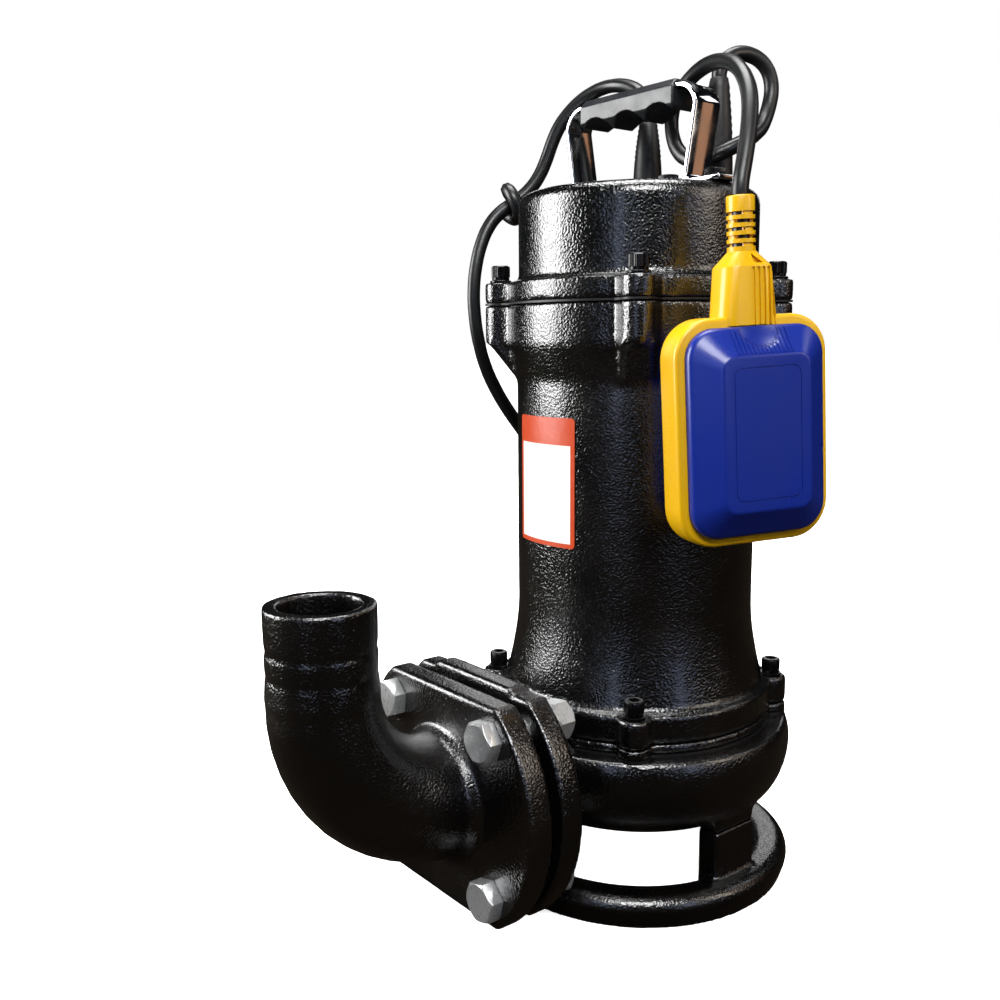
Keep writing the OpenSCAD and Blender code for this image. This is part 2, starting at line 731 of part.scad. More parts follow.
// Filler plug of the oil chamber, at the back
module oil_plug() color(zinc) rotate([0, 0, 180])
    translate([housing_r, 0, plug_z]) rotate([0, 90, 0]) {
        cylinder(r = plug_r, h = flare_w + 2);
        translate([0, 0, flare_w + 1.5]) difference() {
            cylinder(r = 7, h = 5, $fn = 6);
            translate([0, 0, 3]) cylinder(r = 2.5, h = 3, $fn = 6);
        }
    }

// One casting: lower flange, oil chamber, bearing web and hub, motor bore and upper lugs
module motor_housing() color(paint) difference() {
    union() {
        translate([0, 0, z_housing]) linear_extrude(lower_flange_t)
            lug_outline(lower_flange_r, lower_screw_c);
        rotate_extrude($fn = round_fn) polygon(concat(
            [[0, z_housing], [flare_r, z_housing], [flare_r, z_lug_top + 4]],
            [for (i = [1 : 8]) let (t = i / 8)
                [housing_r + (flare_r - housing_r) * pow(1 - t, 1.6), z_lug_top + 4 + 38 * t]],
            [[housing_r, z_seam - upper_lug_h - 18], [upper_flange_r, z_seam - upper_lug_h],
             [upper_flange_r, z_seam], [0, z_seam]]));
        translate([0, 0, z_seam - upper_lug_h]) linear_extrude(upper_lug_h)
            lug_outline(upper_flange_r, upper_screw_c);
        for (a = lug_angles) rotate([0, 0, a]) translate([0, lug_r, 0]) rotate([90, 0, 0])
            linear_extrude(2 * lug_r) polygon([[housing_r - 3, z_seam - upper_lug_h - 20],
                [housing_r + 1, z_seam - upper_lug_h - 17],
                [upper_screw_c + lug_r - 2, z_seam - upper_lug_h + 1],
                [housing_r - 3, z_seam - upper_lug_h + 1]]);
        rotate([0, 0, 180]) translate([flare_r - 8, 0, plug_z]) rotate([0, 90, 0])
            cylinder(r = 10, h = 9.5);
    }
    difference() {
        translate([0, 0, z_housing - 1]) cylinder(r = motor_bore_r - 2, h = oil_h + 1);
        translate([0, 0, z_oil_top - hub_drop]) cylinder(r = hub_r, h = hub_drop + 1);
    }
    translate([0, 0, z_oil_seal - 5]) cylinder(r = oil_seal_r + seat_gap, h = oil_seal_h + 5);
    translate([0, 0, z_oil_top - 2]) cylinder(r = seal_shaft_r + 3, h = 8);
    translate([0, 0, z_lower_bearing]) cylinder(r = lower_bearing_r + seat_gap, h = 40);
    difference() {
        translate([0, 0, z_web_top]) cylinder(r = motor_bore_r, h = housing_h, $fn = round_fn);
        translate([0, 0, z_web_top - 1]) cylinder(r = hub_r, h = z_hub_top - z_web_top + 1);
    }
    translate([0, 0, z_bracket]) cylinder(r = ledge_r, h = housing_h, $fn = round_fn);
    at_angles(lug_angles, lower_screw_c)
        translate([0, 0, z_housing - 1]) cylinder(r = screw_r + screw_gap, h = lower_flange_t + 2);
    at_angles(lug_angles, upper_screw_c)
        translate([0, 0, z_seam - thread_grip]) cylinder(r = screw_r + screw_gap, h = thread_grip + 1);
    rotate([0, 0, 180]) translate([motor_bore_r - 6, 0, plug_z]) rotate([0, 90, 0])
        cylinder(r = plug_r + seat_gap, h = 24);
}

// Stepped shaft, from the impeller's thread to the upper bearing
module shaft() color(steel) difference() {
    union() {
        step(nut_thread_r, z_shaft_end, z_hub_low + 1);
        step(hub_shaft_r, z_hub_low, z_hub_high + 1);
        step(seal_shaft_r, z_hub_high, z_lower_bearing + eps);
        step(lower_bore_r - seat_gap, z_lower_bearing, z_hub_top + 1);
        step(lower_bore_r + 3, z_hub_top + 0.2, z_hub_top + 8);
        step(rotor_shaft_r, z_hub_top + 7, z_core_top + 16);
        step(upper_bore_r + 2.5, z_core_top + 15, z_upper_bearing - 0.2);
        step(upper_bore_r - seat_gap, z_upper_bearing - 1, z_upper_bearing + upper_bearing_w + 1);
    }
    translate([hub_shaft_r - key_w / 2, -key_w / 2 - seat_gap, z_hub_low + 3 - seat_gap])
        cube([key_w, key_w + 2 * seat_gap, key_h + 2 * seat_gap]);
}

module step(r, low, high) {
    translate([0, 0, low]) cylinder(r = r, h = high - low);
}

module rotor_core() color("#8c8f94") translate([0, 0, z_core]) difference() {
    cylinder(r = rotor_r, h = core_h, $fn = round_fn);
    translate([0, 0, -1]) cylinder(r = rotor_shaft_r + seat_gap, h = core_h + 2);
}

module rotor_rings() color("#c9ccd0") {
    for (z = [z_core - end_ring_h, z_core_top]) translate([0, 0, z]) difference() {
        cylinder(r = rotor_r - 1, h = end_ring_h);
        translate([0, 0, -1]) cylinder(r = rotor_r - 12, h = end_ring_h + 2);
    }
}

module stator_core() color("#7d8085") translate([0, 0, z_core]) difference() {
    cylinder(r = stator_out_r, h = core_h, $fn = round_fn);
    translate([0, 0, -1]) cylinder(r = stator_in_r, h = core_h + 2, $fn = round_fn);
    for (i = [0 : slot_count - 1]) rotate([0, 0, 360 * i / slot_count])
        translate([stator_in_r + 1.2, -slot_w / 2, -1]) cube([slot_d - 1.2, slot_w, core_h + 2]);
}

// The winding's two heads, joined by its bars in the stator's slots
module stator_winding() color(copper) {
    for (z = [z_core - winding_h, z_core_top]) translate([0, 0, z]) rotate_extrude()
        translate([stator_in_r + 3, 0]) winding_section();
    for (i = [0 : slot_count - 1]) rotate([0, 0, 360 * i / slot_count])
        translate([stator_in_r + 3.5, -slot_w / 2 + 0.2, z_core - 1])
            cube([slot_d - 4, slot_w - 0.4, core_h + 2]);
}

module winding_section() {
    w = slot_d + 6;
    c = 4;
    polygon(concat(arc([w - c, c], c, -90, 0, 4), arc([w - c, winding_h - c], c, 0, 90, 4),
        arc([c, winding_h - c], c, 90, 180, 4), arc([c, c], c, 180, 270, 4)));
}

module thermal_protector() color("#d9d2c0")
    translate([stator_in_r + 9, -8, z_core_top + winding_h]) cube([9, 16, 5]);

// Ball bearing pieces between the radii inner and outer
module race_outer(inner, outer, z, w) translate([0, 0, z]) rotate_extrude() difference() {
    m = (inner + outer) / 2;
    b = (outer - inner) * 0.3;
    translate([m + b * 0.45, 0]) square([outer - m - b * 0.45, w]);
    translate([m, w / 2]) circle(r = b + running_gap, $fn = small_fn);
}

module race_inner(inner, outer, z, w) translate([0, 0, z]) rotate_extrude() difference() {
    m = (inner + outer) / 2;
    b = (outer - inner) * 0.3;
    translate([inner, 0]) square([m - b * 0.45 - inner, w]);
    translate([m, w / 2]) circle(r = b + running_gap, $fn = small_fn);
}

// Balls and the cage that spaces them
module race_balls(inner, outer, z, w) translate([0, 0, z + w / 2]) {
    m = (inner + outer) / 2;
    b = (outer - inner) * 0.3;
    at_balls(m) sphere(r = b, $fn = 16);
    difference() {
        rotate_extrude() translate([m, 0]) square([b * 0.5, 2 * b + 1.6], center = true);
        at_balls(m) rotate([0, 90, 0]) cylinder(r = b + running_gap, h = b, center = true);
    }
}

module at_balls(m) {
    for (i = [0 : ball_count - 1]) rotate([0, 0, 360 * i / ball_count]) translate([m, 0, 0]) children();
}

module lower_bearing_outer() color(steel)
    race_outer(lower_bore_r, lower_bearing_r, z_lower_bearing, lower_bearing_w);
module lower_bearing_inner() color(steel)
    race_inner(lower_bore_r, lower_bearing_r, z_lower_bearing, lower_bearing_w);
module lower_bearing_balls() color(chrome)
    race_balls(lower_bore_r, lower_bearing_r, z_lower_bearing, lower_bearing_w);
module upper_bearing_outer() color(steel)
    race_outer(upper_bore_r, upper_bearing_r, z_upper_bearing, upper_bearing_w);
module upper_bearing_inner() color(steel)
    race_inner(upper_bore_r, upper_bearing_r, z_upper_bearing, upper_bearing_w);
module upper_bearing_balls() color(chrome)
    race_balls(upper_bore_r, upper_bearing_r, z_upper_bearing, upper_bearing_w);

// Disc on the housing's ledge that holds the upper bearing
module bearing_bracket() color(iron) difference() {
    union() {
        translate([0, 0, z_bracket]) cylinder(r = ledge_r - seat_gap, h = bracket_t, $fn = round_fn);
        translate([0, 0, z_upper_bearing - 2])
            cylinder(r = upper_bearing_r + 6, h = z_bracket - z_upper_bearing + 3);
    }
    translate([0, 0, z_upper_bearing - 3])
        cylinder(r = upper_bearing_r + seat_gap, h = upper_bearing_w + spring_h + 3);
    for (a = [60, 240]) rotate([0, 0, a]) translate([(upper_bearing_r + ledge_r) / 2 + 1, 0, z_bracket - 1])
        cylinder(r = 7, h = bracket_t + 2);
}

module wave_spring() color(steel)
    translate([0, 0, z_upper_bearing + upper_bearing_w]) difference() {
        cylinder(r = upper_bearing_r - 0.3, h = spring_h);
        translate([0, 0, -1]) cylinder(r = upper_bearing_r - 3, h = spring_h + 2);
    }

module top_cover() color(paint) difference() {
    union() {
        translate([0, 0, z_cover]) linear_extrude(cover_flange_t) lug_outline(upper_flange_r, upper_screw_c);
        rotate_extrude($fn = round_fn) polygon(concat([[0, z_cover], [cover_r, z_cover]],
            arc([cover_r - cover_edge, z_top - cover_edge], cover_edge, 0, 90, 8), [[0, z_top]]));
        translate([0, 0, z_bracket_top])
            cylinder(r = ledge_r - 0.2, h = z_cover - z_bracket_top + 1, $fn = round_fn);
        for (s = [-1, 1]) translate([0, s * handle_screw_y, z_top - cover_wall - 6]) cylinder(r = 7, h = 8);
    }
    difference() {
        translate([0, 0, z_bracket_top - 1])
            cylinder(r = cover_r - cover_wall, h = z_top - cover_wall - z_bracket_top + 1, $fn = round_fn);
        for (s = [-1, 1]) translate([0, s * handle_screw_y, z_top - cover_wall - 6]) cylinder(r = 7, h = 9);
    }
    translate([vent_xy[0], vent_xy[1], z_top - cover_wall - 1])
        cylinder(r = screw_r + screw_gap, h = cover_wall + 2);
    at_angles(lug_angles, upper_screw_c)
        translate([0, 0, z_cover - 1]) cylinder(r = screw_r + screw_gap, h = cover_flange_t + 2);
    for (p = [lead_boot_xy, float_boot_xy])
        translate([p[0], p[1], z_top - cover_wall - 1])
            cylinder(r = boot_stem_r + seat_gap, h = cover_wall + 2);
    boot_screw_places() translate([0, 0, z_top - cover_wall + 1.5])
        cylinder(r = boot_screw_r + screw_gap, h = cover_wall);
    for (s = [-1, 1])
        translate([0, s * handle_screw_y, z_top - 10]) cylinder(r = screw_r + screw_gap, h = 11);
}

module at_boots() {
    for (b = [[lead_boot_xy, lead_plate_turn], [float_boot_xy, float_plate_turn]])
        translate([b[0][0], b[0][1], 0]) rotate([0, 0, b[1]]) children();
}

module boot_screw_places() {
    at_boots() for (s = [-1, 1]) translate([0, s * boot_screw_c, 0]) children();
}

module cover_gasket() color(rubber) translate([0, 0, z_seam]) linear_extrude(cover_gasket_t)
    difference() {
        lug_outline(upper_flange_r, upper_screw_c);
        circle(r = ledge_r, $fn = round_fn);
        for (a = lug_angles) rotate(a) translate([upper_screw_c, 0]) circle(r = screw_r + screw_gap);
    }

module run_capacitor() color("#dfe1e3")
    translate([-capacitor_l / 2, capacitor_y, z_bracket_top + capacitor_r + 0.2]) rotate([0, 90, 0])
        cylinder(r = capacitor_r, h = capacitor_l);

module terminal_block() color("#e8e6df") difference() {
    translate([-terminal_w / 2, -32, z_bracket_top]) cube([terminal_w, 14, 16]);
    for (i = [0 : 3]) translate([(i - 1.5) * terminal_pitch, -25, z_bracket_top + 6])
        cylinder(r = 2.5, h = 12);
}

module lower_screws() color(black_oxide)
    cap_screws(lower_screw_c, z_lug_top, z_lug_top - cavity_top_z - 1 - blind_gap);
module upper_screws() color(black_oxide)
    cap_screws(upper_screw_c, z_cover_lug, z_cover_lug - z_seam + thread_grip - blind_gap);

module outlet_gasket() color(rubber)
    translate([flange_x, 0, outlet_z]) rotate([0, 90, 0]) difference() {
        cylinder(r = bolt_gap / sqrt(2) - bolt_r - 2, h = outlet_gasket_t, $fn = round_fn);
        translate([0, 0, -1]) cylinder(r = outlet_bore_r, h = outlet_gasket_t + 2);
    }

// Flanged elbow that narrows to the hose tail, with its three lands
module discharge_elbow() color(paint) difference() {
    union() {
        translate([elbow_face_x, 0, outlet_z]) rotate([90, 0, 90])
            linear_extrude(flange_t) flange_outline();
        bend(elbow_r, tail_r + 0.3, 32);
        translate([elbow_front_x - 4, 0, outlet_z]) rotate([0, 90, 0])
            cylinder(r1 = elbow_r + 5, r2 = elbow_r - 1, h = 10);
        translate([tail_x, 0, tail_z - land_l]) rotate_extrude() polygon([[tail_bore_r - 1, land_l - tail_l],
            [tail_r + 0.6, land_l - tail_l], [tail_r, -24], [tail_r - 1, -23.5], [tail_r - 0.2, -21],
            [tail_r, -12.5], [tail_r - 1.2, -11.5], [tail_r - 0.2, -9], [tail_r, 0], [tail_r - 1.2, 0.8],
            [tail_bore_r - 1, 0.8]]);
        translate([tail_x, 0, tail_z - land_l]) cylinder(r = tail_r, h = land_l);
    }
    bend(elbow_bore_r - 0.2, tail_bore_r - 0.2, 24);
    translate([elbow_face_x - 1, 0, outlet_z]) rotate([0, 90, 0])
        cylinder(r = elbow_bore_r, h = flange_t + 1.4);
    translate([tail_x, 0, bend_z]) cylinder(r = tail_bore_r, h = tail_l + 1);
    flange_holes(elbow_face_x - 1, flange_t + 2);
}

// Quarter bend whose radius runs from r0 at the flange to r1 at the tail
module bend(r0, r1, n) {
    steps = 12;
    over = 1.5;
    c = [elbow_front_x, bend_z];
    rings = [for (i = [-1 : steps + 1])
        let (t = max(0, min(1, i / steps)), a = -90 + 90 * t,
             p = c + polar(elbow_bend, a), d = [-sin(a), cos(a)],
             q = p + d * (i < 0 ? -over : i > steps ? over : 0), r = r0 + (r1 - r0) * t)
        for (k = [0 : n - 1]) let (w = 360 * k / n)
            [q[0] + r * cos(w) * cos(a), r * sin(w), q[1] + r * cos(w) * sin(a)]];
    m = steps + 3;
    polyhedron(rings, concat(
        [for (i = [0 : m - 2]) for (k = [0 : n - 1]) let (p = i * n + k, q = i * n + (k + 1) % n)
            each [[p, q + n, q], [p, p + n, q + n]]],
        [[for (k = [0 : n - 1]) k]], [[for (k = [n - 1 : -1 : 0]) (m - 1) * n + k]]), convexity = 6);
}

module at_bolts(x) {
    for (y = [-1, 1]) for (z = [-1, 1])
        translate([x, y * bolt_gap / 2, outlet_z + z * bolt_gap / 2]) rotate([0, 90, 0]) children();
}

module flange_bolts() color(zinc) at_bolts(elbow_front_x) {
    cylinder(r = bolt_af / sqrt(3), h = bolt_head_h, $fn = 6);
    bolt_l = elbow_front_x - flange_back_x + washer_h + lock_washer_h + nut_h + 3;
    translate([0, 0, -bolt_l]) cylinder(r = bolt_r, h = bolt_l + 1);
}

module flange_washers() color(zinc) at_bolts(flange_back_x) {
    translate([0, 0, -washer_h]) ring_piece(bolt_r + 6, washer_h);
    translate([0, 0, -washer_h - lock_washer_h]) ring_piece(bolt_r + 4, lock_washer_h - eps);
}

module ring_piece(r, h) {
    difference() {
        cylinder(r = r, h = h);
        translate([0, 0, -1]) cylinder(r = bolt_r + 0.2, h = h + 2);
    }
}

module flange_nuts() color(zinc) at_bolts(flange_back_x - washer_h - lock_washer_h - nut_h)
    difference() {
        cylinder(r = bolt_af / sqrt(3), h = nut_h, $fn = 6);
        translate([0, 0, -1]) cylinder(r = bolt_r + seat_gap, h = nut_h + 2);
    }

// Half of the strap's centreline: foot, leaning leg, round corner and top run
function strap_side(s) = let (zt = z_strap - strap_t / 2, zf = z_top + strap_t / 2)
    concat([[s * (strap_low_half + foot_out), zf]],
        [for (i = [0 : 4]) let (a = 270 - 80 * i / 4)
            [s * (strap_low_half + foot_bend_r * (1 + cos(a))), zf + foot_bend_r * (1 + sin(a))]],
        [for (i = [0 : 6]) let (a = 8 + 82 * i / 6)
            [s * (strap_half + strap_bend_r * (cos(a) - 1)), zt + strap_bend_r * (sin(a) - 1)]]);
function reversed(p) = [for (i = [len(p) - 1 : -1 : 0]) p[i]];
// Points at distance o to the left of the line p
function beside(p, o) = [for (i = [0 : len(p) - 1])
    let (d = unit(p[min(i + 1, len(p) - 1)] - p[max(i - 1, 0)])) p[i] + o * [-d[1], d[0]]];

module handle_strap() color(chrome) difference() {
    line = concat(strap_side(-1), reversed(strap_side(1)));
    translate([-strap_w / 2, 0, 0]) rotate([90, 0, 90]) linear_extrude(strap_w)
        polygon(concat(beside(line, strap_t / 2), reversed(beside(line, -strap_t / 2))));
    for (s = [-1, 1])
        translate([0, s * handle_screw_y, z_top - 1]) cylinder(r = screw_r + screw_gap, h = strap_t + 2);
}

// Moulded grip with finger rests, clipped round the strap's top run
module handle_grip() color(rubber) difference() {
    intersection() {
        translate([-grip_w / 2, 0, 0]) rotate([90, 0, 90]) linear_extrude(grip_w) difference() {
            polygon([[-grip_l / 2, grip_low_z + 4], [-grip_l / 2 + 5, grip_low_z],
                [grip_l / 2 - 5, grip_low_z], [grip_l / 2, grip_low_z + 4],
                [grip_l / 2, grip_top_z - 2], [grip_l / 2 - 2, grip_top_z],
                [-grip_l / 2 + 2, grip_top_z], [-grip_l / 2, grip_top_z - 2]]);
            for (i = [-1 : 1]) translate([i * grip_l / 3, grip_low_z - finger_r + finger_depth])
                circle(r = finger_r);
        }
        translate([0, grip_l / 2, 0]) rotate([90, 0, 0]) linear_extrude(grip_l)
            polygon(concat([[grip_w / 2, grip_low_z + 5], [grip_w / 2, grip_top_z - 4]],
                [[grip_w / 2 - 4, grip_top_z], [-grip_w / 2 + 4, grip_top_z]],
                [[-grip_w / 2, grip_top_z - 4], [-grip_w / 2, grip_low_z + 5]],
                [[-grip_w / 2 + 4, grip_low_z], [grip_w / 2 - 4, grip_low_z]]));
    }
    translate([-strap_w / 2 - seat_gap, -grip_l, z_strap - strap_t - seat_gap])
        cube([strap_w + 2 * seat_gap, 2 * grip_l, strap_t + 2 * seat_gap]);
}

// Hex screws on the cover: two hold the handle's feet and one closes the vent hole
module cover_screws() color(black_oxide) {
    for (s = [-1, 1]) translate([0, s * handle_screw_y, z_top + strap_t]) hex_screw(strap_t + 9);
    translate([vent_xy[0], vent_xy[1], z_top]) {
        hex_screw(cover_wall - 1);
        cylinder(r = screw_head_r + 1.6, h = 1);
    }
}

module hex_screw(length) {
    cylinder(r = screw_head_r / cos(30), h = hex_head_h, $fn = 6);
    translate([0, 0, -length]) cylinder(r = screw_r, h = length + 1);
}

// Tapered rubber boot: it fills its hole in the cover and ends where the cord leaves
module boot(p, high, shoulder_r, shoulder_h, tip_r) translate([p[0], p[1], 0]) rotate_extrude() polygon([
    [0, z_top - cover_wall], [boot_stem_r, z_top - cover_wall], [boot_stem_r, z_top],
    [boot_flange_r, z_top], [boot_flange_r, z_top + boot_flange_h], [boot_r, z_top + boot_flange_h],
    [boot_r, z_top + boot_flange_h + boot_plate_t + 3], [shoulder_r, high - shoulder_h], [tip_r, high],
    [0, high]]);

module lead_boot() color(rubber) boot(lead_boot_xy, lead_boot_z, lead_d / 2 + 1, 1.2, lead_d / 2 + 0.4);
module float_boot() color(rubber)
    boot(float_boot_xy, float_boot_z, float_cord_d / 2 + 1.5, 5, float_cord_d / 2 + 0.4);

module boot_plates() color(black_oxide) at_boots() translate([0, 0, z_top + boot_flange_h])
    difference() {
        union() {
            cylinder(r = boot_flange_r, h = boot_plate_t);
            for (s = [-1, 1]) translate([0, s * boot_screw_c, 0])
                cylinder(r = 4.5, h = boot_plate_t, $fn = 32);
            translate([-4.5, -boot_screw_c, 0]) cube([9, 2 * boot_screw_c, boot_plate_t]);
        }
        translate([0, 0, -1]) cylinder(r = boot_r + seat_gap, h = boot_plate_t + 2);
        for (s = [-1, 1]) translate([0, s * boot_screw_c, -1])
            cylinder(r = boot_screw_r + screw_gap, h = boot_plate_t + 2);
    }

module boot_screws() color(black_oxide) boot_screw_places() {
    translate([0, 0, z_top + boot_flange_h + boot_plate_t])
        cylinder(r = boot_head_r, h = boot_head_h, $fn = 32);
    translate([0, 0, z_top - cover_wall + 2])
        cylinder(r = boot_screw_r, h = cover_wall + boot_flange_h + boot_plate_t);
}

module blank_sticker() color("#f2f2ee") {
    turn = label_w / housing_r * 180 / PI;
    rotate([0, 0, -3 - turn / 2]) rotate_extrude(angle = turn)
        translate([housing_r + seat_gap, label_z]) square([0.35, label_h]);
}

module mains_lead() color(rubber) tube(lead_route, lead_d / 2, 10, [1, 0, 0]);
module float_cord() color(rubber) tube(float_route, float_cord_d / 2, 10, [1, 0, 0]);

// Coil: layers that spiral in and out, a half turn of climb between them, then a tail on top
layer_turns = coil_spiral + 0.5;
wound_turns = coil_layers * layer_turns - 0.5;
coil_span = coil_spiral * coil_pitch;
function coil_k(t) = min(floor(t / layer_turns), coil_layers - 1);
function coil_f(t) = min((t - coil_k(t) * layer_turns) / coil_spiral, 1);
function coil_r(t) = coil_out_r - coil_span * (coil_k(t) % 2 == 0 ? coil_f(t) : 1 - coil_f(t));
function coil_z(t) = coil_low_z + coil_rise
    * (coil_k(t) + max(0, (t - coil_k(t) * layer_turns - coil_spiral) / 0.5));
z_coil_top = coil_low_z + coil_layers * coil_rise;
function on_coil(t, r, z) = [coil_c[0] + r * cos(-360 * t), coil_c[1] + r * sin(-360 * t), z];
function eased(t) = t * t * (3 - 2 * t);
coil_turn_path = [for (i = [0 : wound_turns * coil_rings]) let (t = i / coil_rings)
    on_coil(t, coil_r(t), coil_z(t))];
coil_tail = [for (i = [1 : (tail_climb + tail_turn) * coil_rings]) let (s = i / coil_rings,
        f = max(0, (s - tail_climb) / tail_turn), up = min(1, s / tail_climb))
    on_coil(wound_turns + s, coil_out_r + (tail_end_r - coil_out_r) * eased(f),
        coil_z(wound_turns) + coil_rise * up + (z_plug - z_coil_top) * f)];
coil_end = coil_tail[len(coil_tail) - 1];
plug_start = [coil_end[0] - lead_d, coil_end[1], z_plug];
coil_path = concat([[coil_c[0] + coil_out_r, coil_c[1] + coil_lead_in, coil_low_z]],
    coil_turn_path, coil_tail, [plug_start]);

module mains_lead_coil() color(rubber) tube(coil_path, lead_d / 2, 6, [0, 0, 1]);
echo("least gap of the coil to itself, mm:", least_gap(coil_path, coil_rings / 2) - lead_d);

// The half hitch tied in the lead: one more turn of it, wrapped round the lead
module lead_hitch() color(rubber) {
    c = [7, -96.3, 372];
    along = unit([6, -2.8, -4.7]);
    side = unit(cross(along, [0, 0, 1]));
    top = cross(side, along);
    n = 20;
    path = [for (i = [0 : n]) let (a = 400 * i / n - 20, s = i / n - 0.5)
        c + (lead_d + 0.5) * (cos(a) * side + sin(a) * top) + along * s * (lead_d + 3)];
    tube(path, lead_d / 2, 8, along);
}

// Strap that ties the coil's turns together
module coil_tie() color("#2c2c2f") translate([coil_c[0], coil_c[1], 0]) rotate([0, 0, 200]) {
    low_r = coil_out_r - coil_span - lead_d / 2 - 1;
    high_r = coil_out_r + lead_d / 2 + 1;
    high_z = coil_low_z + (coil_layers - 1) * coil_rise + lead_d / 2 + 0.6;
    translate([low_r - 1, 6, 0]) rotate([90, 0, 0]) linear_extrude(12) difference() {
        square([high_r - low_r + 2, high_z + 1]);
        translate([1, 0.7]) square([high_r - low_r, high_z - 0.7]);
    }
}

// Moulded plug lying on the coil, with two round pins
module plug_body() color(rubber) translate([plug_start[0], plug_start[1], z_plug]) rotate([0, -90, 0])
    rotate_extrude() polygon([[0, 0], [lead_d / 2 + 1, 0], [lead_d / 2 + 2.5, 16], [plug_body_r - 1.5, 20],
        [plug_body_r, 24], [plug_body_r, plug_body_l - 2], [plug_body_r - 1, plug_body_l], [0, plug_body_l]]);

module plug_pins() color(zinc) for (s = [-1, 1])
    translate([plug_start[0] - plug_body_l, plug_start[1] + s * pin_gap / 2, z_plug]) rotate([0, -90, 0]) {
        cylinder(r = pin_r, h = pin_l - 1);
        translate([0, 0, pin_l - 1]) cylinder(r1 = pin_r, r2 = pin_r - 0.8, h = 1);
    }

// Frame of the float: its origin is the end of the cord and it hangs down -Z, facing +Y
module hanging() {
    translate(hang) rotate([0, 0, hang_turn]) rotate([0, hang_tilt, 0]) children();
}

module rounded(w, h, r) {
    square([w - 2 * r, h], center = true);
    square([w, h - 2 * r], center = true);
    for (x = [-1, 1]) for (y = [-1, 1])
        translate([x * (w / 2 - r), y * (h / 2 - r)]) circle(r = r, $fn = 32);
}

// Yellow rim with its neck and the ribbed strain relief
module float_rim() color(yellow) hanging() {
    translate([0, rim_t / 2, body_mid]) rotate([90, 0, 0]) linear_extrude(rim_t) difference() {
        rounded(float_w, float_h, rim_corner);
        rounded(float_w - 2 * rim_w, float_h - 2 * rim_w, rim_corner - rim_w + 2);
    }
    intersection() {
        translate([0, neck_t / 2, 0]) rotate([90, 0, 0]) linear_extrude(neck_t)
            polygon([[-neck_w_low / 2, body_top - 4], [-neck_w_high / 2, -relief_h - neck_shoulder],
                [-relief_r + 0.3, -relief_h], [relief_r - 0.3, -relief_h],
                [neck_w_high / 2, -relief_h - neck_shoulder], [neck_w_low / 2, body_top - 4]]);
        translate([0, 0, body_top - 5]) linear_extrude(neck_h + 6)
            rounded(neck_w_low, neck_t, neck_corner);
    }
    rotate_extrude() polygon(concat([[0, -relief_h - 1]],
        [for (i = [3 : -1 : 0]) let (z = -rib_pitch * i)
            each [[relief_r, z - 6.3], [relief_r, z - 2.6], [rib_root_r, z - 2.6], [rib_root_r, z - 0.6]]],
        [[relief_r, -0.6], [relief_r, -soft_gap], [0, -soft_gap]]));
}

// Half of the float's blue body: low sides, a long slope and a flat panel, open towards the rim
module shell() {
    difference() {
        shell_form(0);
        translate([0, -eps, 0]) shell_form(shell_wall);
    }
}

module shell_form(o) {
    w = float_w - 2 * shell_inset - 2 * o;
    h = float_h - 2 * shell_inset - 2 * o;
    r = rim_corner - shell_inset - o;
    hull() {
        shell_slab(w, h, r, 0, shell_side);
        shell_slab(w - 3, h - 3, r - 1, shell_side + 1.2 - o / 2, 0.2);
        shell_slab(panel_w - o, panel_h - o, 5, shell_d - o - 0.3, 0.3);
    }
}

module shell_slab(w, h, r, y, t) {
    translate([0, y + t, 0]) rotate([90, 0, 0]) linear_extrude(t) rounded(w, h, max(r, 3));
}

module float_shells() color(blue) hanging() translate([0, 0, body_mid]) for (s = [0, 1])
    mirror([0, s, 0]) translate([0, rim_t / 2, 0]) shell();

// Ball track, microswitch body and lever pivot inside the float
module float_switch() color("#303236") hanging() difference() {
    union() {
        translate([-track_side, -track_side, ball_low - track_side])
            cube([2 * track_side, 2 * track_side, ball_travel + ball_r + track_side]);
        translate([-track_side, -6, lever_z + 3])
            cube([24, 12, body_top - rim_w - soft_gap - lever_z - 3]);
        translate([ball_r + ball_gap, -6, ball_low + ball_travel])
            cube([7.4, 12, body_top - rim_w - soft_gap - ball_low - ball_travel]);
    }
    translate([0, 0, ball_low]) cylinder(r = ball_r + ball_gap, h = ball_travel + ball_r + 0.5);
    translate([0, 0, ball_low]) sphere(r = ball_r + ball_gap);
    translate([-ball_r - 2, -4, lever_z - lever_t - 2]) cube([2 * ball_r + 7, 8, lever_t + 6]);
    translate([pivot_x, 8, lever_z]) rotate([90, 0, 0]) cylinder(r = pivot_r + running_gap, h = 16);
}

module float_ball() color(chrome) hanging() translate([0, 0, ball_low]) sphere(r = ball_r, $fn = 32);

// Lever on its pivot pin, which the ball lifts
module float_lever() color(steel) hanging() {
    translate([-ball_r + 1, -3, lever_z - lever_t / 2]) cube([2 * ball_r + 2.4, 6, lever_t]);
    translate([pivot_x, 5.5, lever_z]) rotate([90, 0, 0]) cylinder(r = pivot_r, h = 11);
}

// Ballast cast in the foot of the float, one block on each side of the ball track
module float_weight() color("#6b6d70") hanging() for (s = [0, 1]) mirror([s, 0, 0])
    translate([track_side + soft_gap, 6, body_top - float_h + rim_w + soft_gap]) rotate([90, 0, 0])
        linear_extrude(12) polygon([[0, 0], [weight_w - weight_cut, 0], [weight_w, weight_cut],
            [weight_w, weight_h], [0, weight_h]]);

